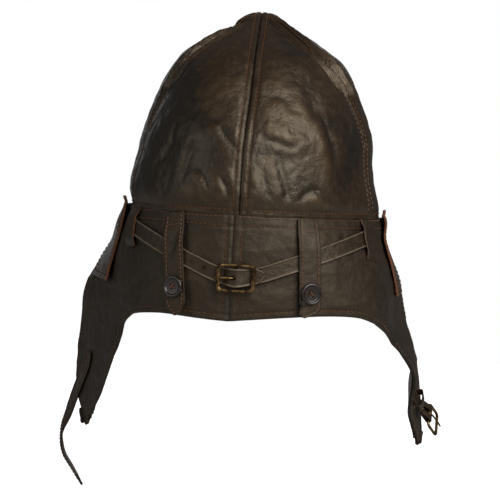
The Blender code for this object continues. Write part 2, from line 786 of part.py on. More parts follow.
def prong(name, bar, eye_low, finger, place, origin):
    """A prong: an eye that turns on a bar along Y, and a finger that rests on the far bar."""
    inner = bar + CLEARANCE
    outer = inner + PRONG_EYE_WALL
    half = PRONG_EYE_WIDTH / 2
    turn = Matrix.Rotation(math.radians(-90), 4, "X")
    lie = place @ Matrix.Translation(eye_low) @ turn
    profile = ((inner, -half), (outer, -half), (outer, half), (inner, half))
    eye = add_object(name, turned(profile, lie, BAR_SIDES * 2, closed=True), BRASS_LOOK, origin)
    bm = tube([place @ (Vector(eye_low) + Vector(point)) for point in finger], PRONG_RADIUS)
    cut(eye, add_object(name + "_finger", bm, BRASS_LOOK), "UNION")
    return eye


def rear_strap():
    """The punched strap from the left, the strap that holds the buckle, and the buckle."""
    place = buckle_place()
    scale = run_scale()
    base = REAR_STRAP_STANDOFF
    bar_top = CENTRE_BAR_STANDOFF + CENTRE_BAR_RADIUS + CLEARANCE + CHAPE_LEATHER
    hump = bar_top + CLEARANCE
    under_tail = base + STRAP_LEATHER + CLEARANCE
    half_frame = REAR_FRAME_WIDTH / 2 - 2 * BAR_RADIUS

    stations = []
    tail = BUCKLE_RUN_SHARE - TAIL_LENGTH / scale
    for step in range(REAR_STRAP_STEPS + 1):
        t = (step / REAR_STRAP_STEPS) ** REAR_STRAP_BUNCHING
        run = lerp(tail, STRAP_END_RUN_SHARE, t)
        away = (run - BUCKLE_RUN_SHARE) * scale
        level = lerp(under_tail, base, smooth((away + half_frame) / (2 * half_frame)))
        wave = math.cos(math.pi / 2 * clamp(abs(away) / half_frame)) ** 2
        point = clamp((run - tail) * scale / REAR_STRAP_POINT)
        width = REAR_STRAP_WIDTH * lerp(TAIL_POINT_SHARE, 1, math.sin(math.pi / 2 * point))
        stations.append(strap_station(run, lerp(level, hump, wave), width))
    strap = ribbon("rear_strap_left", stations, STRAP_LEATHER, LEATHER_LOOK)
    deep = REAR_FRAME_HEIGHT
    squeeze = Matrix.Diagonal((PRONG_HOLE_LENGTH / 2 / STRAP_HOLE_RADIUS, 1, 1, 1))
    shift = Matrix.Translation((-PRONG_HOLE_PLACE, 0, 0))
    hole = disc(STRAP_HOLE_RADIUS, -deep, deep, place @ shift @ squeeze, BAR_SIDES * 2)
    cut(strap, add_object("prong_hole", hole, LEATHER_LOOK))
    for index in OPEN_HOLES:
        run = BUCKLE_RUN_SHARE + (PRONG_HOLE_PLACE + STRAP_HOLE_SPACING * index) / scale
        centre, down, width = strap_station(run, base, 0)
        out = back_out(run, strap_drop(run))
        hole = disc(STRAP_HOLE_RADIUS, -width - BAR_RADIUS, BAR_RADIUS, axes_at(centre, down, out), BAR_SIDES)
        cut(strap, add_object("strap_hole_%d" % index, hole, LEATHER_LOOK))

    wrap = CENTRE_BAR_RADIUS + CLEARANCE + CHAPE_LEATHER / 2
    bar = Vector((0, 0, CENTRE_BAR_STANDOFF))
    fold = []
    for step in range(WRAP_STEPS + 1):
        angle = math.radians(-90 + 180 * step / WRAP_STEPS)
        fold.append(bar + Vector((-wrap * math.cos(angle), 0, wrap * math.sin(angle))))
    close = under_tail + CHAPE_LEATHER / 2
    fold.append(Vector((CHAPE_RETURN / 2, 0, (bar.z + wrap + close) / 2)))
    fold.append(Vector((CHAPE_RETURN, 0, close)))
    stations = []
    near = -CHAPE_START / scale + BUCKLE_RUN_SHARE
    for step in range(REAR_STRAP_STEPS // 2 + 1):
        run = lerp(-STRAP_END_RUN_SHARE, near, step / (REAR_STRAP_STEPS // 2))
        stations.append(strap_station(run, base - (STRAP_LEATHER - CHAPE_LEATHER) / 2, REAR_STRAP_WIDTH))
    up = place.to_3x3() @ Vector((0, 1, 0))
    stations += [(place @ point, -up, REAR_STRAP_WIDTH) for point in fold]
    chape = ribbon("rear_strap_right", stations, CHAPE_LEATHER, LEATHER_LOOK)
    half_slot = PRONG_EYE_WIDTH / 2 + CLEARANCE
    low = (-wrap - CHAPE_LEATHER, -half_slot, -BAR_RADIUS)
    slot = box(low, (CHAPE_RETURN + CLEARANCE, half_slot, hump + BAR_RADIUS), place)
    cut(chape, add_object("prong_slot", slot, LEATHER_LOOK))

    rise = Vector((-(REAR_FRAME_WIDTH / 2 - BAR_RADIUS), 0, CENTRE_BAR_STANDOFF + CENTRE_BAR_RECESS))
    path = frame_path(REAR_FRAME_HEIGHT, REAR_FRAME_WIDTH, BAR_RADIUS, FRAME_CORNER)
    ring = tube([place @ (point + rise) for point in path], BAR_RADIUS, closed=True)
    frame = add_object("rear_buckle_frame", ring, BRASS_LOOK)
    end = REAR_FRAME_HEIGHT / 2 - BAR_RADIUS
    bend = end - CENTRE_BAR_RECESS
    level = bar.z + CENTRE_BAR_RECESS
    points = ((0, end, level), (0, bend, bar.z), (0, -bend, bar.z), (0, -end, level))
    middle = tube([place @ Vector(point) for point in points], CENTRE_BAR_RADIUS)
    cut(frame, add_object("centre_bar", middle, BRASS_LOOK), "UNION")

    far = REAR_FRAME_WIDTH / 2 - BAR_RADIUS
    rest = CENTRE_BAR_RECESS + BAR_RADIUS + CLEARANCE + PRONG_RADIUS
    eye = CENTRE_BAR_RADIUS + CLEARANCE + PRONG_EYE_WALL / 2
    finger = (
        (-eye * math.sin(PRONG_ROOT_ANGLE), 0, eye * math.cos(PRONG_ROOT_ANGLE)),
        (-PRONG_HOLE_PLACE, 0, lerp(eye, rest, PRONG_RISE_SHARE)),
        (-PRONG_HOLE_PLACE * 2, 0, rest),
        (-far, 0, rest),
        (-far - PRONG_OVERHANG, 0, rest - PRONG_RADIUS / 2),
    )
    prong("rear_buckle_prong", CENTRE_BAR_RADIUS, bar, finger, place, place @ bar)


def tab_run(side, drop):
    """The run along which a goggle tab hangs straight down."""
    return run_at(side, drop, lerp(TAB_TOP_X[side], TAB_LOW_X[side], drop / TAB_LENGTH))


def tab_seat(side, drop):
    return skirt_point(side, tab_run(side, drop), drop)


def tab_across(side, drop):
    run = tab_run(side, drop)
    return (skirt_point(side, run + STEP, drop) - skirt_point(side, run - STEP, drop)).normalized()


def tab_axes(side):
    """A tab's directions: across it and out from the head, square to its straight part."""
    top, low = tab_seat(side, TAB_RISE), tab_seat(side, TAB_LENGTH)
    across = tab_across(side, TAB_LENGTH / 2)
    out = (low - top).cross(across).normalized()
    out = out if out.dot(top) > 0 else -out
    return across, out


def tab_lift(side):
    """How far a tab's middle stands off, clear of the rear strap and of its own stud."""
    top, low = tab_seat(side, TAB_RISE), tab_seat(side, TAB_LENGTH)
    out = tab_axes(side)[1]
    strap = REAR_STRAP_STANDOFF + STRAP_LEATHER + CLEARANCE
    stud = CLEARANCE * 4 + STUD_BASE + STUD_SOCKET_HEIGHT
    lifts = [(tab_seat(side, BUTTON_DROP) - top).dot(out) + stud]
    for step in range(1, TAB_STEPS):
        drop = lerp(TAB_RISE, BUTTON_DROP, step / TAB_STEPS)
        lifts.append((tab_seat(side, drop) - top).dot(out) + strap)
    return max(lifts) + TAB_LEATHER / 2


def tab_place(side, out):
    """Axes on a tab at its button, moved out from the tab's middle."""
    top, low = tab_seat(side, TAB_RISE), tab_seat(side, TAB_LENGTH)
    point = top.lerp(low, (BUTTON_DROP - TAB_RISE) / (TAB_LENGTH - TAB_RISE))
    across, normal = tab_axes(side)
    return axes_at(point + normal * (tab_lift(side) + out), across, normal)


def tab_axis(side):
    """A tab's hinge: across its top, just outside its leather."""
    across, out = tab_axes(side)
    return tab_seat(side, CLEARANCE) + out * (CLEARANCE * 2 + TAB_LEATHER), across


def goggle_tabs():
    """Tabs that hold a goggle strap, each with a button on it and a press stud behind it."""
    for label, side in SIDES:
        pivot = tab_axis(side)[0]
        across, out = tab_axes(side)
        lift = tab_lift(side)
        foot = CLEARANCE + TAB_LEATHER / 2
        stations = []
        for step in range(TAB_STEPS):
            share = step / TAB_STEPS
            drop = lerp(CLEARANCE + TAB_LEATHER, TAB_RISE, share)
            seat = tab_seat(side, drop) + out * lerp(foot, lift, smooth(share))
            stations.append((seat, tab_across(side, drop).lerp(across, share), TAB_WIDTH))
        top, low = tab_seat(side, TAB_RISE) + out * lift, tab_seat(side, TAB_LENGTH) + out * lift
        corner = 1 - TAB_POINT / (TAB_LENGTH - TAB_RISE)
        stations += [(top.lerp(low, share), across, TAB_WIDTH) for share in (0, corner / 2, corner)]
        stations.append((low - across * TAB_TIP_SHIFT[side], across, TAB_TIP_WIDTH))
        ribbon("goggle_tab_" + label, stations, TAB_LEATHER, LEATHER_LOOK, pivot)
        button(label, tab_place(side, TAB_LEATHER / 2 + CLEARANCE), pivot)
        press_stud(label, side, pivot)


def press_stud(label, side, pivot):
    """A ring on the tab's back that closes over a post on the curtain."""
    place = tab_place(side, 0)
    top = -TAB_LEATHER / 2 - CLEARANCE
    low = top - STUD_SOCKET_HEIGHT
    bore = STUD_POST_RADIUS + CLEARANCE
    profile = ((bore, low), (STUD_SOCKET_RADIUS, low), (STUD_SOCKET_RADIUS, top), (bore, top))
    ring = turned(profile, place, closed=True)
    add_object("tab_stud_socket_" + label, ring, BRASS_LOOK, pivot)
    cap = low - CLEARANCE
    base = cap - STUD_BASE
    profile = (
        (STUD_RADIUS, base),
        (STUD_RADIUS, base + STUD_BASE / 2),
        (STUD_SOCKET_RADIUS, cap),
        (STUD_POST_RADIUS, cap),
        (STUD_POST_RADIUS, base + STUD_POST_HEIGHT),
    )
    add_object("tab_stud_post_" + label, turned(profile, place), BRASS_LOOK)


def button(label, place, pivot):
    """A dished button with a raised rim and four holes."""
    chamfer = BUTTON_RIM / 2
    profile = (
        (BUTTON_RADIUS - BUTTON_RIM, 0),
        (BUTTON_RADIUS, chamfer),
        (BUTTON_RADIUS, BUTTON_THICKNESS - chamfer),
        (BUTTON_RADIUS - chamfer, BUTTON_THICKNESS),
        (BUTTON_RADIUS - BUTTON_RIM, BUTTON_THICKNESS - chamfer / 2),
        (BUTTON_RADIUS - BUTTON_RIM * 2, BUTTON_THICKNESS - BUTTON_DISH),
    )
    made = add_object("goggle_button_" + label, turned(profile, place), BUTTON_LOOK, pivot)
    for index, (x, y) in enumerate(((1, 1), (1, -1), (-1, 1), (-1, -1))):
        shift = Matrix.Translation((x * BUTTON_HOLE_OFFSET, y * BUTTON_HOLE_OFFSET, 0))
        hole = disc(BUTTON_HOLE_RADIUS, -BUTTON_RIM, BUTTON_THICKNESS, place @ shift, BAR_SIDES)
        cut(made, add_object("button_hole_%s_%d" % (label, index), hole, BUTTON_LOOK))


def flap_point(side, run, depth):
    """A place on an ear flap's outer face, by its depth below the fold."""
    return skirt_point(side, run, FOLD_DEPTH + depth)


def flap_out(side):
    """The outward direction of an ear flap, which is flat."""
    return skirt_out(side, CHAPE_RUN_SHARE, FOLD_DEPTH + CHAPE_DEPTH)


def chin_edge():
    """The chin strap's sewn end, where it crosses the flap's edge, and its directions there."""
    out = flap_out(LEFT)
    lift = out * (CLEARANCE + CHIN_STRAP_LEATHER / 2)
    root = flap_point(LEFT, CHIN_ROOT_RUN_SHARE, CHIN_ROOT_DEPTH) + lift
    edge = flap_point(LEFT, CHIN_EDGE_RUN_SHARE, CHIN_EDGE_DEPTH) + lift
    onward = (edge - root).normalized()
    return root, edge, onward, onward.cross(out).normalized()


def chin_strap():
    """The chin strap: a part sewn on the left flap, and a free part that hangs from it."""
    root, edge, onward, across = chin_edge()
    gap = onward * (CHIN_ROOT_GAP / 2)
    bend = edge + onward * CHIN_ROOT_OVERHANG
    stations = [(root.lerp(bend - gap, share), across, CHIN_STRAP_WIDTH) for share in (0, 0.5, 1)]
    ribbon("chin_strap_root", stations, CHIN_STRAP_LEATHER, LEATHER_LOOK, fold_axis(LEFT)[0])
    path = [bend + gap] + [edge + fall for fall in CHIN_STRAP_FALL]
    length = sum((b - a).length for a, b in zip(path, path[1:]))
    out = flap_out(LEFT)
    stations = []
    for step in range(CHIN_STRAP_STEPS + 1):
        t = step / CHIN_STRAP_STEPS
        centre = spline(path, t)
        tangent = spline(path, t + STEP) - spline(path, t - STEP)
        point = clamp((1 - t) * length / CHIN_STRAP_POINT)
        width = CHIN_STRAP_WIDTH * lerp(TAIL_POINT_SHARE, 1, math.sin(math.pi / 2 * point))
        stations.append((centre, tangent.cross(out), width))
    strap = ribbon("chin_strap", stations, CHIN_STRAP_LEATHER, LEATHER_LOOK, bend)
    for index in range(CHIN_HOLE_COUNT):
        t = 1 - (CHIN_HOLE_START + CHIN_HOLE_SPACING * index) / length
        centre = spline(path, t)
        tangent = (spline(path, t + STEP) - spline(path, t - STEP)).normalized()
        side = tangent.cross(out).normalized()
        place = axes_at(centre, tangent, side.cross(tangent))
        deep = CHIN_STRAP_LEATHER * 2
        hole = disc(STRAP_HOLE_RADIUS, -deep, deep, place, BAR_SIDES)
        cut(strap, add_object("chin_hole_%d" % index, hole, LEATHER_LOOK))


def chape_place():
    """The chin chape's own axes on the right flap: X along it, Y across, Z out."""
    out = flap_out(RIGHT)
    start = flap_point(RIGHT, CHAPE_RUN_SHARE, CHAPE_DEPTH)
    front = flap_point(RIGHT, CHAPE_RUN_SHARE + STEP, CHAPE_DEPTH) - start
    down = flap_point(RIGHT, CHAPE_RUN_SHARE, CHAPE_DEPTH + MM) - start
    along = front.normalized() * math.cos(CHAPE_SLANT) + down.normalized() * math.sin(CHAPE_SLANT)
    return axes_at(start, along, out)


def heel_place():
    """The chin buckle's axes at its heel bar, tilted out from the flap."""
    wrap = BAR_RADIUS + CLEARANCE + CHAPE_LEATHER / 2
    low = CLEARANCE + CHAPE_LEATHER / 2 + CHAPE_RISE
    bar = Matrix.Translation((CHAPE_LENGTH, 0, low + wrap))
    return chape_place() @ bar @ Matrix.Rotation(-CHIN_FRAME_TILT, 4, "Y"), wrap


def chin_buckle():
    """The chape sewn on the right flap, its keeper, and the buckle that swings on it."""
    place = chape_place()
    heel, wrap = heel_place()
    pivot = fold_axis(RIGHT)[0]
    foot = CLEARANCE + CHAPE_LEATHER / 2
    profile = []
    for step in range(CHAPE_STEPS):
        share = step / CHAPE_STEPS
        rise = foot + CHAPE_RISE * share**CHAPE_RISE_CURVE
        profile.append(place @ Vector((CHAPE_LENGTH * share, 0, rise)))
    for step in range(WRAP_STEPS + 1):
        angle = math.radians(-90 + 180 * step / WRAP_STEPS)
        profile.append(heel @ Vector((wrap * math.cos(angle), 0, wrap * math.sin(angle))))
    share = 1 - CHIN_CHAPE_RETURN / CHAPE_LENGTH
    back = foot + CHAPE_RISE * share**CHAPE_RISE_CURVE + CHAPE_LEATHER + CLEARANCE
    profile.append(heel @ Vector((-CHIN_CHAPE_RETURN / 2, 0, wrap * CHIN_CHAPE_CLOSE_SHARE)))
    profile.append(place @ Vector((CHAPE_LENGTH * share, 0, back)))
    across = place.to_3x3() @ Vector((0, 1, 0))
    stations = [(point, across, CHAPE_WIDTH) for point in profile]
    chape = ribbon("chin_chape", stations, CHAPE_LEATHER, LEATHER_LOOK, pivot)
    half_slot = PRONG_EYE_WIDTH / 2 + CLEARANCE
    reach = wrap + CHAPE_LEATHER
    slot = box((-CHIN_CHAPE_RETURN, -half_slot, -reach * 2), (reach, half_slot, reach * 2), heel)
    cut(chape, add_object("chape_slot", slot, LEATHER_LOOK))

    foot_out = CLEARANCE + CHAPE_LEATHER / 2
    half = CHAPE_WIDTH / 2 + CLEARANCE + CHAPE_LEATHER
    foot, low = (half + CHIN_KEEPER_FOOT, foot_out), (half, foot_out * 2)
    high, top = (
        (half * wide, CHIN_KEEPER_HEIGHT * tall)
        for wide, tall in (KEEPER_SHOULDER_SHARES, KEEPER_TOP_SHARES)
    )
    outline = [(-y, z) for y, z in (foot, low, high, top)]
    outline.append((0, CHIN_KEEPER_HEIGHT * KEEPER_CROWN_SHARE))
    outline += [(-y, z) for y, z in reversed(outline[:-1])]
    along = place.to_3x3() @ Vector((1, 0, 0))
    stations = [
        (place @ Vector((CHIN_KEEPER_PLACE, y, z)), along, CHIN_KEEPER_WIDTH) for y, z in outline
    ]
    ribbon("chin_keeper", stations, CHAPE_LEATHER, LEATHER_LOOK, pivot)

    hinge = heel.translation
    path = frame_path(CHIN_FRAME_WIDTH, CHIN_FRAME_LENGTH, BAR_RADIUS, FRAME_CORNER)
    ring = tube([heel @ point for point in path], BAR_RADIUS, closed=True)
    add_object("chin_buckle_frame", ring, BRASS_LOOK, hinge)
    far = CHIN_FRAME_LENGTH - 2 * BAR_RADIUS
    rest = BAR_RADIUS + CLEARANCE + PRONG_RADIUS
    eye = BAR_RADIUS + CLEARANCE + PRONG_EYE_WALL / 2
    finger = (
        (eye * math.sin(PRONG_ROOT_ANGLE), 0, eye * math.cos(PRONG_ROOT_ANGLE)),
        (far * CHIN_PRONG_BEND_SHARE, 0, rest),
        (far, 0, rest),
        (far + PRONG_OVERHANG, 0, rest - PRONG_RADIUS / 2),
    )
    prong("chin_buckle_prong", BAR_RADIUS, Vector((0, 0, 0)), finger, heel, hinge)


def main():
    clear_scene()
    crown()
    crown_lining()
    curtain()
    ear_flaps()
    brow_band()
    ear_covers()
    strap_loops()
    rear_strap()
    goggle_tabs()
    chin_strap()
    chin_buckle()


main()
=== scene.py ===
"""Looks of the leather flying helmet: panelled crown, neck curtain, ear flaps, straps and buckles.

Every sheet of leather is a grid of points on the frame's own surfaces, with folds, puckers and rolled
edges as relief, then a wall and stitches. Lengths are in metres.
"""

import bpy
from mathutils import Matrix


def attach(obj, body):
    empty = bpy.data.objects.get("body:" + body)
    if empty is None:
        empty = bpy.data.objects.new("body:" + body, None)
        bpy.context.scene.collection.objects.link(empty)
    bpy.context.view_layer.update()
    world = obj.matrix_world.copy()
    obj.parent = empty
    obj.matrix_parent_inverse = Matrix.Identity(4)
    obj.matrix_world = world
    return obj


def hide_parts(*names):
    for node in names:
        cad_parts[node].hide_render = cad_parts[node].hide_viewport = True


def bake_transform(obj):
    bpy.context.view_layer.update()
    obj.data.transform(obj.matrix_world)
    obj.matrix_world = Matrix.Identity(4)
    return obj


bl_info = {
    "name": "Leather flying helmet",
    "version": (1, 0, 0),
    "blender": (4, 5, 0),
    "location": "3D View > Sidebar > Helmet",
    "description": "Leather, cloth, thread and brass of a flying helmet on its packed frame",
    "category": "Object",
}

import math
from contextlib import contextmanager

import bmesh
import bpy
import numpy as np
from mathutils import Matrix, Vector, noise

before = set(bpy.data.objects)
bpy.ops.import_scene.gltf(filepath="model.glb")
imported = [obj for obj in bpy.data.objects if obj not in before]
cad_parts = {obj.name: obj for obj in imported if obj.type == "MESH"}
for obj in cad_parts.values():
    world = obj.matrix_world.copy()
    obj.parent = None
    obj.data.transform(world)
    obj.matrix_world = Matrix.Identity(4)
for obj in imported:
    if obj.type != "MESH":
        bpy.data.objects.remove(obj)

MM = 0.001
LEFT, RIGHT = 1, -1
SIDES = (("left", LEFT), ("right", RIGHT))

# Sizes that the frame was made with
LEATHER = 1.8 * MM
STRAP_LEATHER = 1.2 * MM
CHAPE_LEATHER = 1.0 * MM
TAB_LEATHER = 1.6 * MM
LINING_CLOTH = 0.8 * MM
CLEARANCE = 0.35 * MM
CROWN_HALF_WIDTH, CROWN_HALF_LENGTH, CROWN_HEIGHT = 89 * MM, 103 * MM, 145 * MM
PEAK_FORWARD = 30 * MM
PANEL_PUFF = 3 * MM
WAIST_TUCK, WAIST_TUCK_HEIGHT = 3 * MM, 9 * MM
CROWN_PROFILE = (
    (1.000, 0.00),
    (0.990, 0.13),
    (0.965, 0.26),
    (0.950, 0.37),
    (0.872, 0.50),
    (0.778, 0.63),
    (0.655, 0.75),
    (0.440, 0.85),
    (0.230, 0.94),
    (0.100, 0.985),
    (0.000, 1.00),
)
BACK_SEAM = (math.radians(90), math.radians(90))
SIDE_BACK_SEAM = (math.radians(18), math.radians(42))
SIDE_FRONT_SEAM = (math.radians(-40), math.radians(-56))
FRONT_SEAM = (math.radians(-90), math.radians(-90))
SEAM_SWING_START, SEAM_SWING_SPAN = 0.42, 0.50
BROW_BAND_DEPTH = 22 * MM
CURTAIN_DEPTH, FOLD_DEPTH, FLAP_DEPTH = 70 * MM, 82 * MM, 86 * MM
HEM_BACK_HANDLE, HEM_CORNER_HANDLE, HEM_CORNER_SOFT = 58 * MM, 30 * MM, 18 * MM
FLAP_REAR_X = {LEFT: 87 * MM, RIGHT: 106 * MM}
FLAP_FRONT_X = {LEFT: 127 * MM, RIGHT: 122 * MM}
FLAP_REAR_Y, FLAP_FRONT_Y = 38 * MM, -56 * MM
FLAP_LEAN = {LEFT: math.tan(math.radians(4)), RIGHT: math.tan(math.radians(27))}
FLAP_HANG = {LEFT: 60 * MM, RIGHT: 28 * MM}
CURTAIN_BULGE = 1.5 * MM
FRONT_EDGE = math.radians(-31)
CORNER_RUN, HEM_CORNER_START = 0.55, 0.40
FLAP_SHOULDER, FLAP_REAR_TIP, FLAP_REAR_CURVE = 0.14, 0.60, 1.15
FLAP_FRONT_START, FLAP_FRONT_TIP, FLAP_FRONT_CURVE = 0.60, 0.69, 1.25
LINING_MARGIN = 4 * MM
COVER_TOP, COVER_DEPTH = 1.5 * MM, 55 * MM
COVER_REAR, COVER_FRONT = 0.70, 0.93
# The covers as they hang: raised tops, and how proud the free edges stand, from the top down
COVER_RISE = 6 * MM
COVER_WIDER = {LEFT: 0.03, RIGHT: 0.0}
COVER_PROUD = {LEFT: (4.4, 2.2, 0.8, 0.8, 1.8, 3.2), RIGHT: (3.4, 3.0, 2.6, 1.6, 1.2, 2.4)}
COVER_BULGE = {LEFT: 3.0 * MM, RIGHT: 0.0}
REAR_STRAP_WIDTH, REAR_STRAP_STANDOFF = 11.5 * MM, 1.0 * MM
REAR_BUCKLE_DROP, REAR_LOOP_DROP, REAR_STRAP_SAG = 43 * MM, 13 * MM, 1.35
REAR_STRAP_POINT, TAIL_LENGTH, TAIL_POINT = 7 * MM, 19 * MM, 0.3
BUCKLE_RUN, STRAP_END_RUN = 0.008, 0.53
STRAP_TAUT = 3.6 * MM
HOLE_SPACING, HOLE_RADIUS = 11.2 * MM, 1.5 * MM
PRONG_HOLE_LENGTH, PRONG_HOLE_PLACE = 5.6 * MM, 2.3 * MM
LOOP_SLANT = {LEFT: 6 * MM, RIGHT: 8 * MM}
LOOP_PLACE_Y, LOOP_WIDTH, LOOP_DEPTH, LOOP_FOOT = 44 * MM, 16 * MM, 29 * MM, 0.25
REAR_FRAME_WIDTH, REAR_FRAME_HEIGHT = 26 * MM, 19 * MM
BAR_RADIUS, CENTRE_BAR_RADIUS = 1.1 * MM, 1.0 * MM
CENTRE_BAR_RECESS, CENTRE_BAR_STANDOFF = 1.8 * MM, 3.4 * MM
FRAME_CORNER = 2.5 * MM
CHAPE_RETURN, CHAPE_START = 5 * MM, 4 * MM
PRONG_RADIUS, PRONG_EYE_WIDTH, PRONG_EYE_WALL, PRONG_OVERHANG = 0.7 * MM, 3 * MM, 0.8 * MM, 2.6 * MM
TAB_WIDTH, TAB_LENGTH, TAB_RISE, TAB_POINT, TAB_TIP_WIDTH = 16 * MM, 71 * MM, 12 * MM, 7 * MM, 5 * MM
TAB_TOP_X = {LEFT: 47.0 * MM, RIGHT: 43.3 * MM}
TAB_LOW_X = {LEFT: 40 * MM, RIGHT: 47.4 * MM}
TAB_FOOT = 22 * MM
TAB_TIP_SHIFT = {LEFT: 1 * MM, RIGHT: 6.5 * MM}
TAB_SHORTER = {LEFT: 0.0, RIGHT: 4 * MM}
BUTTON_DROP, BUTTON_RADIUS, BUTTON_THICKNESS = 52 * MM, 7.5 * MM, 3 * MM
STUD_BASE, STUD_SOCKET_HEIGHT = 0.6 * MM, 1.0 * MM
CHIN_STRAP_WIDTH, CHIN_STRAP_LEATHER, CHIN_STRAP_POINT = 14 * MM, 1.6 * MM, 12 * MM
CHIN_ROOT_RUN, CHIN_ROOT_DEPTH, CHIN_EDGE_RUN, CHIN_EDGE_DEPTH = 0.885, 43 * MM, 0.95, 61 * MM
CHIN_ROOT_OVERHANG = 7.5 * MM
CHIN_ROOT_SHIFT = np.array((-5.3, 12.5, 9)) * MM
CHIN_STRAP_FALL = (
    (7.5, -14.5, -21),
    (13, -21, -37),
    (11.5, -25, -53),
    (4, -27, -66),
    (-4.5, -24.5, -78.5),
)
CHIN_HOLES, CHIN_HOLE_SPACING, CHIN_HOLE_START = 5, 12 * MM, 22 * MM
CHAPE_RUN, CHAPE_DEPTH, CHAPE_LENGTH, CHAPE_WIDTH = 0.80, 46 * MM, 26 * MM, 13 * MM
CHAPE_RISE, CHAPE_RISE_CURVE, CHIN_CHAPE_RETURN, CHAPE_SLANT = 6.5 * MM, 1.5, 9 * MM, math.radians(45)
CHIN_FRAME_WIDTH, CHIN_FRAME_LENGTH, CHIN_FRAME_TILT = 22 * MM, 16 * MM, math.radians(18)
KEEPER_WIDTH, KEEPER_HEIGHT, KEEPER_PLACE, KEEPER_FOOT = 7 * MM, 6.6 * MM, 9 * MM, 2.4 * MM
# Where the soft leather has moved from the frame's plain surfaces: out over the right ear, in below it,
# the right flap's rear edge turned out, the curtain's seam pulled left, and the hem hung by its own weight
EAR_FLARE, EAR_FLARE_HEIGHT, EAR_FLARE_SPAN = 8 * MM, 15 * MM, math.radians(58)
EAR_DIP, EAR_DIP_DROP, EAR_DIP_REACH = 3 * MM, 66 * MM, 16 * MM
FLAP_TURN = (0, 4.5, 7.5, 9.5, 9, 6.5, 3, 0.5, 0, 0, 0)
FLAP_TIP_OUT, FLAP_TIP_TURN = 3 * MM, 3 * MM
CURTAIN_SEAM_SHIFT, CURTAIN_SEAM_REACH = 6 * MM, 26 * MM
CURTAIN_STITCHED = {LEFT: 4.9 * MM, RIGHT: 6.1 * MM}
HEM_CORNER_FULL = {LEFT: 0.026, RIGHT: 0.0}
HEM_HANG = {LEFT: (3.3, 2.2, 1.3, 3.0, 5.5, 3.5), RIGHT: (3.3, -0.8, -2.8, -1.8, 4.0, 1.5)}
WAIST_LAP = 1.5 * MM
# Sewn edges press into each other at the bottom of their grooves
JOIN = -0.12 * MM
# Depth of the channel that a row of stitches pulls in, and where the rows run
CHANNEL = 0.42 * MM
SEAM_STITCHED, EDGE_STITCHED, COVER_STITCHED = 4.6 * MM, 4.4 * MM, 4 * MM
WAIST_STITCHED = (2.6 * MM, 8.5 * MM)
TAB_STITCHED = 2.2 * MM
# Half of the step over which the slope of a surface is taken
STEP = 2e-3
BUTTON_HOLE_OFFSET, BUTTON_HOLE_RADIUS = 1.4 * MM, 0.8 * MM
# A prong's eye in section: how far out from its bore, and along it, in millimetres
EYE_PROFILE = (
    (0, -1.2),
    (0.2, -1.5),
    (0.6, -1.5),
    (0.8, -1.2),
    (0.8, 1.2),
    (0.6, 1.5),
    (0.2, 1.5),
    (0, 1.2),
    (0, -1.2),
)
PRONG_ROOT = math.radians(25)
FLOOR_WIDTH, FLOOR_Z = 2.4, -0.2285
CAMERA_TURN, CAMERA_TILT, CAMERA_ROLL = math.radians(182.5), math.radians(3.0), math.radians(3.1)
CAMERA_AIM, CAMERA_AWAY = (-1.63, 1.45, -28.90), 1.4


def linear(code):
    """An sRGB hex colour as linear values."""
    parts = [int(code[index : index + 2], 16) / 255 for index in (0, 2, 4)]
    return [part / 12.92 if part <= 0.04045 else ((part + 0.055) / 1.055) ** 2.4 for part in parts]


def colour(label, code, what):
    return bpy.props.FloatVectorProperty(
        name=label, description=what, subtype="COLOR", default=linear(code), min=0, max=1
    )


def length(label, default, what):
    return bpy.props.FloatProperty(name=label, description=what, default=default, min=0, unit="LENGTH")


def share(label, default, what):
    return bpy.props.FloatProperty(
        name=label, description=what, default=default, min=0, max=1, subtype="FACTOR"
    )


class HelmetLeather(bpy.types.PropertyGroup):
    """The hide and how it is worked"""

    dye: colour("Dye", "251A11", "Colour of the flat leather")
    rubbed: colour("Rubbed", "3D2F1F", "Colour of ridges and rolled edges")
    # Painted shade: the deep colour is mixed into grooves, creases and hollows by their depth.
    deep: colour("Deep", "0F0A07", "Colour in the grooves")
    raw: colour("Cut edge", "6E4020", "Colour of the edges that are cut and left raw")
    grain: length("Grain", 1.1 * MM, "Width of one pebble of the grain")
    swell: length("Swell", 0.9 * MM, "Height of the soft waves in the panels")
    crumple: length("Crumple", 0.40 * MM, "Height of the small folds")
    gloss: share("Roughness", 0.40, "Roughness of the finish")


class HelmetThread(bpy.types.PropertyGroup):
    """The stitching"""

    thread: colour("Thread", "52300F", "Colour of the thread")
    pitch: length("Stitch spacing", 3.5 * MM, "From one stitch to the next")
    size: length("Stitch length", 2.2 * MM, "Length of a stitch that shows")
    thickness: length("Thread thickness", 0.75 * MM, "Thickness of the thread")


class HelmetMetal(bpy.types.PropertyGroup):
    """Buckles, studs and buttons"""

    brass: colour("Brass", "7E6540", "Colour of the rubbed brass")
    patina: colour("Patina", "2E2418", "Colour of the brass in its corners")
    horn: colour("Button", "1E150E", "Colour of the buttons")


class HelmetStage(bpy.types.PropertyGroup):
    """Floor, light and camera"""

    floor: colour("Floor", "F4F3F1", "Colour of the floor")
    key: bpy.props.FloatProperty(
        name="Key light", description="Power of the key light", default=40, unit="POWER"
    )
    lens: bpy.props.FloatProperty(name="Lens", description="Focal length in mm", default=138.08)


# Surfaces


def lerp(a, b, share):
    return a + (b - a) * share


def smooth(share):
    share = np.clip(share, 0, 1)
    return share * share * (3 - 2 * share)


def hill(distance, width):
    """A soft bump that is 1 where the distance is 0."""
    return np.exp(-((distance / width) ** 2))


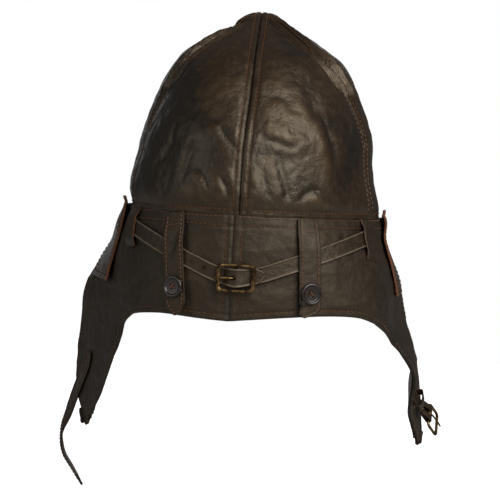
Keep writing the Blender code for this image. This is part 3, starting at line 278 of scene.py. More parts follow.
def spline(points, share):
    """A smooth curve through evenly spaced points, read at shares of the way along."""
    points = np.asarray(points, float)
    last = len(points) - 1
    place = np.asarray(share, float) * last
    index = np.clip(np.floor(place).astype(int), 0, last - 1)
    t = (place - index)[..., None]
    padded = np.vstack((2 * points[0] - points[1], points, 2 * points[-1] - points[-2]))
    p0, p1, p2, p3 = (padded[index + k] for k in range(4))
    square, cube = 2 * p0 - 5 * p1 + 4 * p2 - p3, 3 * p1 - p0 - 3 * p2 + p3
    return p1 + ((p2 - p0) * t + square * t**2 + cube * t**3) / 2


def heights(values, share):
    """A smooth curve through evenly spaced heights in millimetres."""
    return spline(np.array(values)[:, None] * MM, share)[..., 0]


def unit(vectors):
    return vectors / np.maximum(np.linalg.norm(vectors, axis=-1, keepdims=True), 1e-12)


def outward(place, u, v):
    """The direction that leaves a surface, on the side away from the head."""
    along = place(u + STEP, v) - place(u - STEP, v)
    down = place(u, v + STEP) - place(u, v - STEP)
    normal = unit(np.cross(along, down))
    facing = np.sign(np.sum(normal * place(u, v), axis=-1, keepdims=True))
    return normal * facing


def ear_flare(side, angle, height):
    """How far the leather stands out over the right ear, at angles and heights round the waist."""
    amount = EAR_FLARE * (side == RIGHT) * hill(height, EAR_FLARE_HEIGHT)
    amount = amount * smooth(1 - np.abs(angle) / np.where(angle > 0, EAR_FLARE_SPAN, -FRONT_EDGE))
    return amount * np.cos(angle), amount * np.sin(angle)


def crown_point(angle, climb, side=LEFT):
    """The crown's outer face; climb goes from the waist seam to the peak."""
    shape = spline(CROWN_PROFILE, climb)
    width, height = shape[..., 0], shape[..., 1]
    z = CROWN_HEIGHT * height
    tuck = WAIST_TUCK * hill(z, WAIST_TUCK_HEIGHT)
    x = (CROWN_HALF_WIDTH - tuck) * width * np.cos(angle)
    y = (CROWN_HALF_LENGTH - tuck) * width * np.sin(angle) - PEAK_FORWARD * height**2
    flare = ear_flare(side, angle, z)
    return np.stack((side * (x + flare[0]), y + flare[1], z), -1)


def seam_angle(seam, climb):
    height = spline(CROWN_PROFILE, climb)[..., 1]
    return lerp(*seam, smooth((height - SEAM_SWING_START) / SEAM_SWING_SPAN))


def waist_plan(run):
    angle = lerp(BACK_SEAM[0], FRONT_EDGE, run)
    x = (CROWN_HALF_WIDTH - WAIST_TUCK) * np.cos(angle)
    return np.stack((x, (CROWN_HALF_LENGTH - WAIST_TUCK) * np.sin(angle)), -1)


def fold_plan(side, run):
    """The skirt in plan at the fold: a curve round the neck, then the flap's straight line."""
    rear = np.array((FLAP_REAR_X[side], FLAP_REAR_Y))
    front = np.array((FLAP_FRONT_X[side], FLAP_FRONT_Y))
    t = (np.asarray(run, float) / CORNER_RUN)[..., None]
    back = np.array((0, CROWN_HALF_LENGTH - WAIST_TUCK))
    first = back + np.array((HEM_BACK_HANDLE, 0))
    second = rear + unit(rear - front) * HEM_CORNER_HANDLE
    curve = back * (1 - t) ** 3 + first * 3 * t * (1 - t) ** 2 + second * 3 * t**2 * (1 - t) + rear * t**3
    line = rear + (front - rear) * (t - 1) * CORNER_RUN / (1 - CORNER_RUN)
    return np.where(t >= 1, line, curve)


def settled(side, run, drop):
    """How far the skirt's leather has moved out of its plain surface."""
    if side == LEFT:
        return 0.0
    share = np.clip((drop - FOLD_DEPTH) / FLAP_DEPTH, 0, 1)
    rear = flap_edges(share)[0]
    front = np.clip((run - rear) / (1 - rear), 0, 1)
    turn = heights(FLAP_TURN, share)
    edge = (1 - front) ** lerp(1.2, 4, smooth((share - 0.3) / 0.2))
    dip = hill(drop - EAR_DIP_DROP, EAR_DIP_REACH) * smooth((run - 0.5) / 0.2)
    tip = FLAP_TIP_OUT * smooth((share - 0.5) / 0.45) + FLAP_TIP_TURN * smooth((share - 0.75) / 0.2) * front
    return turn * edge + tip - EAR_DIP * dip


def skirt_point(side, run, drop, soft=True):
    """The skirt's outer face at a depth below the waist seam."""
    run, drop = np.broadcast_arrays(np.asarray(run, float), np.asarray(drop, float))
    deep = np.clip(drop / FOLD_DEPTH, 0, 1)
    plan = lerp(waist_plan(run), fold_plan(side, run), np.sin(np.pi / 2 * deep)[..., None])
    below = np.maximum(drop - FOLD_DEPTH, 0) / FLAP_HANG[side]
    lean = FLAP_LEAN[side] * FLAP_HANG[side] * (1 - np.exp(-below))
    away = CURTAIN_BULGE * np.sin(np.pi * deep) + lean + (settled(side, run, drop) if soft else 0)
    step = fold_plan(side, run + STEP) - fold_plan(side, run - STEP)
    plan = plan + unit(np.stack((-step[..., 1], step[..., 0]), -1)) * away[..., None]
    plan = plan + np.stack(ear_flare(side, lerp(BACK_SEAM[0], FRONT_EDGE, run), drop * 1.3), -1)
    return np.stack((side * plan[..., 0], plan[..., 1], -drop), -1)


def skirt_out(side, run, drop):
    return outward(lambda u, v: skirt_point(side, u, v), run, drop)


def back_side(run):
    return LEFT if run >= 0 else RIGHT


def back_point(run, drop):
    """A place on the back of the skirt; run is positive on the left and negative on the right."""
    return skirt_point(back_side(run), abs(run), drop)


def back_out(run, drop):
    return skirt_out(back_side(run), abs(run), drop)


def run_at(side, drop, value, axis=0):
    """The run at which the skirt meets a plane square to X or Y, at a depth."""
    low, high = 0.0, 1.0
    for _ in range(24):
        middle = (low + high) / 2
        point = skirt_point(side, middle, drop)
        beyond = side * point[0] > value if axis == 0 else point[1] < value
        low, high = (low, middle) if beyond else (middle, high)
    return high


def curtain_depth(run):
    share = (run - HEM_CORNER_START) / (CORNER_RUN - HEM_CORNER_START)
    return lerp(CURTAIN_DEPTH, FOLD_DEPTH, smooth(share))


def flap_edges(v):
    """The flap's rear and front edges at shares of its depth, as runs."""
    low = np.clip((v - FLAP_SHOULDER) / (1 - FLAP_SHOULDER), 0, 1)
    rear = FLAP_REAR_TIP * low**FLAP_REAR_CURVE
    low = np.clip((v - FLAP_FRONT_START) / (1 - FLAP_FRONT_START), 0, 1)
    front = 1 - (1 - FLAP_FRONT_TIP) * low**FLAP_FRONT_CURVE
    return lerp(CORNER_RUN, 1, rear), lerp(CORNER_RUN, 1, front)


def axes_at(point, along, out):
    """A matrix at a point whose X runs along, whose Z points out, and whose Y is square to both."""
    out = Vector(out).normalized()
    along = Vector(along)
    along = (along - out * along.dot(out)).normalized()
    matrix = Matrix((along, out.cross(along), out)).transposed().to_4x4()
    matrix.translation = Vector(point)
    return matrix


# Grids of points, and relief on them


def wander(points, size, seed=0.0, stretch=(1, 1, 1)):
    """Soft noise at points, from -1 to 1; size is the width of one swell."""
    shift = np.array((seed * 7.3, seed * 3.1, seed * 1.7))
    scaled = points.reshape(-1, 3) * np.array(stretch) / size + shift
    return np.array([noise.noise(row) for row in scaled.tolist()]).reshape(points.shape[:-1])


def folds(points, size, seed=0.0, stretch=(1, 1, 1)):
    """Narrow crests with wide hollows between them, from 0 to 1."""
    return (1 - np.abs(wander(points, size, seed, stretch)) * 2.2).clip(0, 1) ** 3


def grid_normals(points, out):
    """Unit normals of a grid of points, on the side that out points to."""
    normal = unit(np.cross(np.gradient(points, axis=0), np.gradient(points, axis=1)))
    return normal if np.sum(normal * out) > 0 else -normal


def grid_reach(points):
    """Lengths on a grid from its first and last column and from its first and last row."""
    found = []
    for axis in (0, 1):
        steps = np.linalg.norm(np.diff(points, axis=axis), axis=-1)
        run = np.insert(np.cumsum(steps, axis=axis), 0, 0, axis=axis)
        total = np.take(run, [-1], axis=axis)
        found += [run, total - run]
    return found


def rolled(distance, radius, depth):
    """How far an edge that is turned under falls away, by the distance from it."""
    near = np.clip(1 - distance / radius, 0, 1)
    return -depth * (1 - np.sqrt(1 - near**2))


def channel(distance, stitched):
    """The channel that a row of stitches pulls in, at a distance from an edge."""
    return CHANNEL * hill(distance - stitched, MM)


def seamed(distance, radius=2.4 * MM, depth=1.3 * MM, stitched=SEAM_STITCHED):
    """Relief beside a sewn seam: a rolled edge and the channel of its stitches."""
    height = rolled(distance, radius, depth)
    return height - channel(distance, stitched) if stitched else height


def turned_edge(distance):
    """Relief beside a free edge that is turned under and stitched."""
    return rolled(distance, 1.6 * MM, 0.8 * MM) - channel(distance, EDGE_STITCHED)


def puckers(points, distance, size=7 * MM, reach=9 * MM, seed=0.0, depth=0.3 * MM):
    """Small gathers that a seam puts into the leather beside it."""
    return depth * wander(points, size, seed) * hill(distance, reach)


def crease(points, line, depth, width, step=0.0):
    """A soft fold along a line in X and Z, in millimetres; step raises the leather on one side of it."""
    flat = points[..., [0, 2]]
    best = np.full(flat.shape[:-1], 1.0)
    fade, sign = np.zeros_like(best), np.zeros_like(best)
    line = np.asarray(spline(line, np.linspace(0, 1, 4 * len(line)))) * MM
    for index, (a, b) in enumerate(zip(line, line[1:])):
        t = np.clip(((flat - a) @ (b - a)) / max((b - a) @ (b - a), 1e-12), 0, 1)
        gap = np.linalg.norm(flat - (a + t[..., None] * (b - a)), axis=-1)
        closer = gap < best
        best = np.where(closer, gap, best)
        fade = np.where(closer, np.sin(np.pi * (index + t) / (len(line) - 1)), fade)
        away = flat - a
        sign = np.where(closer, np.sign((b - a)[0] * away[..., 1] - (b - a)[1] * away[..., 0]), sign)
    near = best / (width * MM)
    shape = depth * (-hill(near, 1) + 0.2 * (1 + sign) * hill(near - 1.9, 1.2))
    shape += step * sign * (1 - np.exp(-near)) * hill(best, 13 * MM)
    return MM * np.clip(fade, 0, 1) ** 0.7 * shape * (points[..., 1] > -30 * MM)


class Grid:
    """Points in columns and rows with their normals, moved out by a relief."""

    def __init__(self, points, out, relief=None, cut=None):
        normal = unit(grid_normals(points, out) + out * 0.5)
        self.relief = np.zeros(points.shape[:-1]) if relief is None else relief
        self.points = points + normal * self.relief[..., None]
        self.normals = grid_normals(self.points, out)
        self.reach = grid_reach(points)
        self.cut = cut

    def part(self, columns, rows):
        """A smaller grid of the same points."""
        piece = object.__new__(Grid)
        piece.points, piece.normals = self.points[columns, rows], self.normals[columns, rows]
        piece.reach = grid_reach(piece.points)
        return piece

    def line(self, edge, distance, trim=0.0):
        """Points and normals along a line at a distance from an edge: left, right, low or high."""
        which = ("left", "right", "low", "high").index(edge)
        reach, across = self.reach[which], which < 2
        found = []
        count = self.points.shape[1 if across else 0]
        for index in range(count):
            pick = (slice(None), index) if across else (index, slice(None))
            gaps = reach[pick]
            order = slice(None) if gaps[0] < gaps[-1] else slice(None, None, -1)
            values = np.concatenate((self.points[pick], self.normals[pick]), axis=-1)[order]
            found.append([np.interp(distance, gaps[order], values[:, k]) for k in range(6)])
        found = np.array(found)
        points, normals = found[:, :3], unit(found[:, 3:])
        if trim:
            run = np.insert(np.cumsum(np.linalg.norm(np.diff(points, axis=0), axis=1)), 0, 0)
            keep = (run > trim) & (run < run[-1] - trim)
            points, normals = points[keep], normals[keep]
        return points, normals


def shares(columns, rows):
    return np.meshgrid(np.linspace(0, 1, columns + 1), np.linspace(0, 1, rows + 1), indexing="ij")


# Making pieces


def start():
    if bpy.context.object is not None and bpy.context.object.mode != "OBJECT":
        bpy.ops.object.mode_set(mode="OBJECT")
    bpy.ops.object.select_all(action="DESELECT")


def choose(*pieces):
    start()
    for piece in pieces:
        piece.select_set(True)
    bpy.context.view_layer.objects.active = pieces[0]


@contextmanager
def editing(piece, action="SELECT"):
    """Edit mode on one piece, with all of it selected first, or none of it, or what was."""
    choose(piece)
    bpy.ops.object.mode_set(mode="EDIT")
    if action:
        bpy.ops.mesh.select_all(action=action)
    yield
    bpy.ops.object.mode_set(mode="OBJECT")


def modify(piece, kind, **settings):
    """Adds a modifier with its settings and applies it."""
    choose(piece)
    bpy.ops.object.modifier_add(type=kind)
    modifier = piece.modifiers[-1]
    for key, value in settings.items():
        setattr(modifier, key, value)
    bpy.ops.object.modifier_apply(modifier=modifier.name)


def join(piece, *others):
    """Joins other objects into a piece and keeps its name."""
    others = [other for other in others if other is not None]
    if others:
        name = piece.name
        choose(piece, *others)
        bpy.ops.object.join()
        piece.name = name
    return piece


def remove(piece):
    choose(piece)
    bpy.ops.object.delete()


def finish(piece, name, *looks, angle=40, body="head_shell", slot="leather", replaced=None):
    """Names a piece, gives it its materials and body, and hides the frame's parts that it replaces."""
    piece.name = piece.data.name = name
    for index, look in enumerate(looks):
        if len(piece.data.materials) <= index:
            piece.data.materials.append(look)
        else:
            piece.data.materials[index] = look
    choose(piece)
    bpy.ops.object.shade_smooth_by_angle(angle=math.radians(angle))
    bpy.ops.object.select_all(action="DESELECT")
    if body:
        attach(piece, body)
    if replaced:
        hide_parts(*([replaced] if isinstance(replaced, str) else replaced))
    return piece


def sheet(name, grid, thickness, looks, rim=0, bevel=0.35 * MM):
    """A grid primitive laid on the points of a Grid, with a wall on its inner side."""
    start()
    columns, rows = (count - 1 for count in grid.points.shape[:2])
    bpy.ops.mesh.primitive_grid_add(x_subdivisions=columns, y_subdivisions=rows, size=2, calc_uvs=True)
    piece = bpy.context.object
    piece.name = piece.data.name = name
    mesh = piece.data
    places = np.empty(len(mesh.vertices) * 3)
    mesh.vertices.foreach_get("co", places)
    places = places.reshape(-1, 3)
    i = np.rint((places[:, 0] + 1) / 2 * columns).astype(int)
    j = np.rint((places[:, 1] + 1) / 2 * rows).astype(int)
    mesh.vertices.foreach_set("co", grid.points[i, j].ravel())
    mesh.update()
    # The relief in millimetres, which the leather material reads to paint shade into hollows and to lighten
    # ridges.
    lift = mesh.attributes.new("lift", "FLOAT", "POINT")
    lift.data.foreach_set("value", (grid.relief[i, j] / MM).astype(np.float32))
    corners = np.empty(len(mesh.loops), int)
    mesh.loops.foreach_get("vertex_index", corners)
    flat = np.stack((grid.reach[0][i, j], grid.reach[2][i, j]), -1)[corners]
    mesh.uv_layers[0].data.foreach_set("uv", flat.ravel())
    face = mesh.polygons[len(mesh.polygons) // 2]
    nearest = face.vertices[0]
    if face.normal.dot(Vector(grid.normals[i[nearest], j[nearest]])) < 0:
        with editing(piece):
            bpy.ops.mesh.flip_normals()
    if grid.cut is not None:
        with editing(piece, "DESELECT"):
            bpy.ops.mesh.select_mode(type="VERT")
        mesh.vertices.foreach_set("select", grid.cut[i, j])
        with editing(piece, None):
            bpy.ops.mesh.delete(type="VERT")
    for look in looks:
        mesh.materials.append(look)
    if thickness:
        wall = {"thickness": thickness, "offset": -1, "use_quality_normals": True}
        modify(piece, "SOLIDIFY", material_offset_rim=rim, **wall)
        if bevel:
            corners = {"limit_method": "ANGLE", "angle_limit": math.radians(55)}
            modify(piece, "BEVEL", width=bevel, segments=2, **corners)
    return piece


def hide(name, grid, thickness, look, rim=0):
    """A sheet of leather whose raw edge is a second material."""
    return sheet(name, grid, thickness, [look, cut_leather()], rim=rim)


def direction(place, axis):
    """One of the axes of a place, as an array."""
    return np.array(place.to_3x3() @ Vector(axis))


def path_grid(centres, across, widths, lift, columns, out, at=0.5, relief=None):
    """A Grid along a path: its centres, the width's directions and the widths; lift is half the thickness.

    The grid faces the side that out points to at a share of the way along.
    """
    centres, across = np.asarray(centres, float), np.asarray(across, float)
    tangent = unit(np.gradient(centres, axis=0))
    side = unit(across - tangent * np.sum(across * tangent, axis=-1, keepdims=True))
    normal = unit(np.cross(tangent, side))
    if np.dot(normal[int(at * (len(centres) - 1))], out) < 0:
        side, normal = -side, -normal
    u = np.linspace(-0.5, 0.5, columns + 1)
    points = centres + normal * lift
    points = points[None] + side[None] * (u[:, None] * np.asarray(widths)[None])[..., None]
    out = np.broadcast_to(normal[None], points.shape)
    return Grid(points, out, None if relief is None else relief(grid_reach(points), points))


def resample(points, pitch):
    """Points at an even pitch along a line."""
    points = np.asarray(points, float)
    run = np.insert(np.cumsum(np.linalg.norm(np.diff(points[:, :3], axis=0), axis=1)), 0, 0)
    count = max(int(round(run[-1] / pitch)), 2)
    at = np.linspace(0, run[-1], count + 1)
    return at, np.stack([np.interp(at, run, points[:, k]) for k in range(points.shape[1])], -1)


def template_stitch():
    """One stitch: a short thread that dives into the leather at both ends, made once."""
    made = bpy.data.objects.get("stitch")
    if made is not None:
        return made
    looks = bpy.context.scene.helmet_thread
    half, thick = looks.size / 2, looks.thickness / 2
    shape = ((-1, -1, 0.7), (-0.72, 0.35, 1), (0, 0.6, 1.05), (0.72, 0.35, 1), (1, -1, 0.7))
    points = [(half * x, 0, thick * z) for x, z, _ in shape]
    made = bar("stitch", points, [thick * part for _, _, part in shape], resolution=1)
    made.hide_render = True
    return made


def stitches(*lines, pitch=None):
    """Copies of the stitch along lines of points and normals, in one object."""
    scene = bpy.context.scene
    pitch = pitch or scene.helmet_thread.pitch
    source = template_stitch().data
    count = len(source.vertices)
    base = np.empty(count * 3)
    source.vertices.foreach_get("co", base)
    base = base.reshape(-1, 3)
    polygons = [tuple(face.vertices) for face in source.polygons]
    points, faces = [], []
    for places, normals in lines:
        if len(places) < 3:
            continue
        _, rows = resample(np.hstack((places, normals)), pitch)
        middles = (rows[1:] + rows[:-1]) / 2
        along = unit(rows[1:, :3] - rows[:-1, :3])
        up = unit(middles[:, 3:] - along * np.sum(middles[:, 3:] * along, -1, keepdims=True))
        side = np.cross(up, along)
        for centre, x, y, z in zip(middles[:, :3], along, side, up):
            shift = len(points) * count
            points.append(centre + base[:, :1] * x + base[:, 1:2] * y + base[:, 2:] * z)
            faces += [tuple(vertex + shift for vertex in face) for face in polygons]
    mesh = bpy.data.meshes.new("stitches")
    mesh.from_pydata(np.concatenate(points).tolist(), [], faces)
    mesh.materials.append(thread())
    row = bpy.data.objects.new("stitches", mesh)
    bpy.context.collection.objects.link(row)
    choose(row)
    bpy.ops.object.shade_smooth()
    return row


def bar(name, points, radii, closed=False, resolution=3, smooth_path=False):
    """A round bar along points, drawn as a bevelled curve and made a mesh."""
    curve = bpy.data.curves.new(name, "CURVE")
    curve.dimensions = "3D"
    curve.bevel_depth = 1
    curve.bevel_resolution = resolution
    curve.use_fill_caps = not closed
    path = curve.splines.new("POLY")
    points = np.asarray(points, float)
    if smooth_path:
        amount = np.linspace(0, 1, len(points) * 6)
        points = spline(points, amount)
        if not np.isscalar(radii):
            radii = spline(np.asarray(radii, float)[:, None], amount)[:, 0]
    path.points.add(len(points) - 1)
    radii = np.full(len(points), radii) if np.isscalar(radii) else radii
    for slot, point, radius in zip(path.points, points, radii):
        slot.co = (*point, 1)
        slot.radius = radius
    path.use_cyclic_u = closed
    piece = bpy.data.objects.new(name, curve)
    bpy.context.collection.objects.link(piece)
    choose(piece)
    bpy.ops.object.convert(target="MESH")
    piece = bpy.context.object
    with editing(piece):
        bpy.ops.mesh.remove_doubles(threshold=1e-7)
        bpy.ops.mesh.normals_make_consistent(inside=False)
    return piece


def turned(name, profile, place, sides=48):
    """A profile of radii and heights spun round the Z axis of place."""
    start()
    bpy.ops.mesh.primitive_plane_add(size=1)
    piece = bpy.context.object
    piece.name = piece.data.name = name
    bm = bmesh.new()
    verts = [bm.verts.new((radius, 0, height)) for radius, height in profile]
    for a, b in zip(verts, verts[1:]):
        bm.edges.new((a, b))
    bm.to_mesh(piece.data)
    bm.free()
    with editing(piece):
        bpy.ops.mesh.spin(steps=sides, angle=math.tau, center=(0, 0, 0), axis=(0, 0, 1))
        bpy.ops.mesh.select_all(action="SELECT")
        bpy.ops.mesh.remove_doubles(threshold=1e-6)
        bpy.ops.mesh.normals_make_consistent(inside=False)
    piece.data.transform(place)
    return piece


def drill(piece, radius, depth, place, sides=24, squeeze=1.0):
    """A round or long hole cut through a piece."""
    start()
    bpy.ops.mesh.primitive_cylinder_add(vertices=sides, radius=radius, depth=depth * 2)
    cutter = bpy.context.object
    cutter.data.transform(place @ Matrix.Diagonal((squeeze, 1, 1, 1)))
    modify(piece, "BOOLEAN", operation="DIFFERENCE", solver="EXACT", object=cutter)
    remove(cutter)


# Materials


def feed(tree, node, values=None, links=None):
    """Sets values on a node's sockets and links other nodes into it."""
    for key, value in (values or {}).items():
        node.inputs[key].default_value = value
    for key, (source, output) in (links or {}).items():
        tree.links.new(source.outputs[output], node.inputs[key])
    return node


def add(tree, kind, values=None, links=None, **settings):
    """Adds a node with its settings, its values and the links into it."""
    node = tree.nodes.new("ShaderNode" + kind)
    for key, value in settings.items():
        setattr(node, key, value)
    return feed(tree, node, values, links)


def blank(name):
    """A new material's tree and its shader, or None where the material is made already."""
    made = bpy.data.materials.get(name)
    if made is not None:
        return made, None, None
    made = bpy.data.materials.new(name)
    made.use_nodes = True
    return made, made.node_tree, made.node_tree.nodes["Principled BSDF"]


# A Mix node that mixes colours
COLOURS = {"data_type": "RGBA"}


def rgba(value):
    return (*value[:3], 1.0)


def dimmed(value, amount):
    return rgba([part * amount for part in value[:3]])


def leather(name="drum-dyed sheep nappa", shade=1.0, gloss=0.0, ridged=0.4):
    """Soft chrome-tanned hide with a sprayed finish: even dye, fine pebbles, a satin sheen in soft folds,
    painted shade in its grooves and hollows, and lighter ridges that on straps are a painted highlight.
    """
    made, tree, shader = blank(name)
    if tree is None:
        return made
    looks = bpy.context.scene.helmet_leather
    dye, rubbed, deep = (dimmed(tone, shade) for tone in (looks.dye, looks.rubbed, looks.deep))
    place = add(tree, "TexCoord")
    broad = add(tree, "TexNoise", {"Scale": 1 / (38 * MM), "Detail": 3.0}, {"Vector": (place, "Object")})
    mottle = add(tree, "TexNoise", {"Scale": 1 / (5 * MM), "Detail": 4.0}, {"Vector": (place, "Object")})
    lift = add(tree, "Attribute", attribute_name="lift", attribute_type="GEOMETRY")
    tone = add(tree, "MapRange", {"From Min": 0.3, "From Max": 0.7}, {"Value": (broad, "Fac")})
    base = add(tree, "Mix", {"A": dimmed(dye, 0.78), "B": dye}, {"Factor": (tone, "Result")}, **COLOURS)
    level = {"From Min": 0.52, "From Max": 0.75, "To Max": 0.35}
    spots = add(tree, "MapRange", level, {"Value": (mottle, "Fac")})
    worn = add(tree, "Mix", {"B": rubbed}, {"Factor": (spots, "Result"), "A": (base, "Result")}, **COLOURS)
    # Raised ridges turn lighter: with the usual threshold this is rubbed wear; with the straps' low
    # threshold it is a pale painted highlight along their folded edges.
    level = {"From Min": ridged, "From Max": ridged * 4, "To Max": 0.36 / (ridged + 0.2)}
    ridge_wear_and_highlight_mask = add(tree, "MapRange", level, {"Value": (lift, "Fac")})
    pale = rubbed if ridged > 0.2 else rgba(linear("5C5142"))
    high = add(tree, "Mix", {"B": pale}, {"Factor": (ridge_wear_and_highlight_mask, "Result"), "A": (worn, "Result")}, **COLOURS)
    # Painted shade: grooves, creases, turned-under edges and sunken hollows darken towards the deep colour
    # by how far they lie below the sheet.
    level = {"From Min": -0.18, "From Max": -0.6, "To Max": 0.85}
    painted_groove_shade = add(tree, "MapRange", level, {"Value": (lift, "Fac")})
    skin = add(tree, "Mix", {"B": deep}, {"Factor": (painted_groove_shade, "Result"), "A": (high, "Result")}, **COLOURS)
    # Real pebbles are about half this wide, which a 500 pixel picture can't show
    size = {"Scale": 1 / looks.grain, "Randomness": 0.9}
    pebbles = add(tree, "TexVoronoi", size, {"Vector": (place, "Object")}, feature="DISTANCE_TO_EDGE")
    valley = add(tree, "MapRange", {"From Max": 0.25}, {"Value": (pebbles, "Distance")})
    size = {"Scale": 1 / (3.2 * MM), "Detail": 5.0, "Roughness": 0.6}
    fine = add(tree, "TexNoise", size, {"Vector": (place, "Object")})
    grain = add(tree, "Bump", {"Strength": 0.35, "Distance": 0.10 * MM}, {"Height": (valley, "Result")})
    links = {"Height": (mottle, "Fac"), "Normal": (grain, "Normal")}
    creased = add(tree, "Bump", {"Strength": 0.7, "Distance": 0.9 * MM}, links)
    links = {"Height": (fine, "Fac"), "Normal": (creased, "Normal")}
    crumple = add(tree, "Bump", {"Strength": 0.6, "Distance": 0.45 * MM}, links)
    level = {"To Min": looks.gloss - 0.05 + gloss, "To Max": looks.gloss + 0.10 + gloss}
    dull = add(tree, "MapRange", {"From Min": 0.3, "From Max": 0.7, **level}, {"Value": (mottle, "Fac")})
    links = {"Base Color": (skin, "Result"), "Roughness": (dull, "Result"), "Normal": (crumple, "Normal")}
    feed(tree, shader, {"IOR": 1.52, "Specular Tint": (1.0, 0.85, 0.63, 1.0)}, links)
    return made


def cut_leather():
    """The raw edge of cut leather: dyed fibres with the tan showing, dull."""
    made, tree, shader = blank("raw cut leather edge")
    if tree is None:
        return made
    looks = bpy.context.scene.helmet_leather
    place = add(tree, "TexCoord")
    fibres = add(tree, "TexNoise", {"Scale": 1 / (0.9 * MM), "Detail": 4.0}, {"Vector": (place, "Object")})
    tones = {"A": rgba(looks.raw), "B": dimmed(looks.raw, 0.45)}
    tone = add(tree, "Mix", tones, {"Factor": (fibres, "Fac")}, **COLOURS)
    bump = add(tree, "Bump", {"Strength": 0.6, "Distance": 0.2 * MM}, {"Height": (fibres, "Fac")})
    feed(tree, shader, {"Roughness": 0.8}, {"Base Color": (tone, "Result"), "Normal": (bump, "Normal")})
    return made


def thread():
    """Bonded polyester sewing thread: two plies with a slight shine."""
    made, tree, shader = blank("bonded polyester thread")
    if tree is None:
        return made
    looks = bpy.context.scene.helmet_thread
    place = add(tree, "TexCoord")
    plies = add(tree, "TexNoise", {"Scale": 1 / (1.4 * MM), "Detail": 2.0}, {"Vector": (place, "Object")})
    tones = {"A": dimmed(looks.thread, 0.45), "B": dimmed(looks.thread, 1.25)}
    tone = add(tree, "Mix", tones, {"Factor": (plies, "Fac")}, **COLOURS)
    bump = add(tree, "Bump", {"Strength": 0.4, "Distance": 0.15 * MM}, {"Height": (plies, "Fac")})
    feed(tree, shader, {"Roughness": 0.55}, {"Base Color": (tone, "Result"), "Normal": (bump, "Normal")})
    return made


def brass():
    """Cast brass with years of handling: rubbed bright in patches, brown with patina between them."""
    made, tree, shader = blank("aged cast brass")
    if tree is None:
        return made
    looks = bpy.context.scene.helmet_metal
    place = add(tree, "TexCoord")
    cloud = add(tree, "TexNoise", {"Scale": 1 / (4 * MM), "Detail": 4.0}, {"Vector": (place, "Object")})
    rub = add(tree, "MapRange", {"From Min": 0.38, "From Max": 0.62}, {"Value": (cloud, "Fac")})
    tones = {"A": rgba(looks.patina), "B": rgba(looks.brass)}
    tone = add(tree, "Mix", tones, {"Factor": (rub, "Result")}, **COLOURS)
    pits = add(tree, "TexNoise", {"Scale": 1 / (0.8 * MM), "Detail": 3.0}, {"Vector": (place, "Object")})
    bump = add(tree, "Bump", {"Strength": 0.35, "Distance": 0.12 * MM}, {"Height": (pits, "Fac")})
    dull = add(tree, "MapRange", {"To Min": 0.6, "To Max": 0.4}, {"Value": (rub, "Result")})
    links = {"Base Color": (tone, "Result"), "Normal": (bump, "Normal"), "Roughness": (dull, "Result")}
    feed(tree, shader, {"Metallic": 1.0}, links)
    return made


def horn():
    """Cast polyester made to look like buffalo horn: dark, polished, with faint streaks."""
    made, tree, shader = blank("polished horn-look polyester")
    if tree is None:
        return made
    looks = bpy.context.scene.helmet_metal
    place = add(tree, "TexCoord")
    stretch = add(tree, "Mapping", {"Scale": (1.0, 1.0, 4.0)}, {"Vector": (place, "Object")})
    streaks = add(tree, "TexNoise", {"Scale": 1 / (7 * MM), "Detail": 4.0}, {"Vector": (stretch, "Vector")})
    tones = {"A": dimmed(looks.horn, 0.5), "B": dimmed(looks.horn, 1.5)}
    tone = add(tree, "Mix", tones, {"Factor": (streaks, "Fac")}, **COLOURS)
    feed(tree, shader, {"Roughness": 0.26, "IOR": 1.5}, {"Base Color": (tone, "Result")})
    return made


def twill():
    """Cotton twill lining: a soft diagonal rib, matt, a little fuzzy."""
    made, tree, shader = blank("cotton twill")
    if tree is None:
        return made
    place = add(tree, "UVMap", uv_map="UVMap")
    # Ribs of real twill stand 0.5 mm apart, drawn at 1.7 mm so that they show
    size = {"Scale": math.tau / 10 / (1.7 * MM), "Distortion": 0.4, "Detail": 1.0}
    ribs = add(tree, "TexWave", size, {"Vector": (place, "UV")}, bands_direction="DIAGONAL")
    wear = add(tree, "TexNoise", {"Scale": 1 / (25 * MM), "Detail": 3.0}, {"Vector": (place, "UV")})
    tones = {"A": rgba(linear("2E241B")), "B": rgba(linear("4A3B2C"))}
    rib = add(tree, "Mix", tones, {"Factor": (ribs, "Fac")}, **COLOURS)
    tones = {"B": rgba(linear("3A2E23"))}
    tone = add(tree, "Mix", tones, {"Factor": (wear, "Fac"), "A": (rib, "Result")}, **COLOURS)
    bump = add(tree, "Bump", {"Strength": 0.5, "Distance": 0.2 * MM}, {"Height": (ribs, "Fac")})
    values = {"Roughness": 0.92, "Sheen Weight": 0.25}
    feed(tree, shader, values, {"Base Color": (tone, "Result"), "Normal": (bump, "Normal")})
    return made


# Crown

GATHER_PITCH = 4.4 * MM
# Each soft fold of the crown: its line in X and Z, its depth, its width and the step across it, in mm
CREASES = (
    (
        ((-8, 55), (-11, 54), (-15, 52), (-20, 51), (-25, 49), (-30, 48), (-34, 51), (-36, 54)),
        0.95,
        2.6,
        -1.27,
    ),
    (
        ((-33, 95), (-41, 80), (-48, 69), (-53, 61), (-57, 50), (-59, 40), (-62, 29), (-65, 16)),
        1.33,
        3.2,
        0.85,
    ),
    (((-5, 79), (-17, 82), (-25, 79), (-34, 70)), 0.95, 3.4, 0.0),
    (((-38, 10), (-43, 16), (-51, 18), (-62, 8)), 1.52, 2.8, 0.51),
    (((-20, 44), (-25, 30), (-29, 17), (-31, 10)), 1.14, 3.0, 0.0),
    (((-11, 35), (-13, 23), (-17, 12)), 0.95, 3.0, 0.0),
    (((-30, 85), (-40, 75), (-46, 64)), 0.76, 2.8, 0.0),
    (((32, 32), (26, 20), (20, 10)), 1.14, 3.0, 0.51),
    (((24, 66), (15, 53), (7, 44)), 0.95, 3.0, 0.0),
    (((18, 28), (12, 17), (10, 8)), 1.14, 2.8, 0.0),
    (((34, 52), (42, 36), (46, 14)), 0.95, 3.2, 0.51),
    (((52, 60), (58, 42), (66, 30)), 0.95, 2.8, 0.0),
)


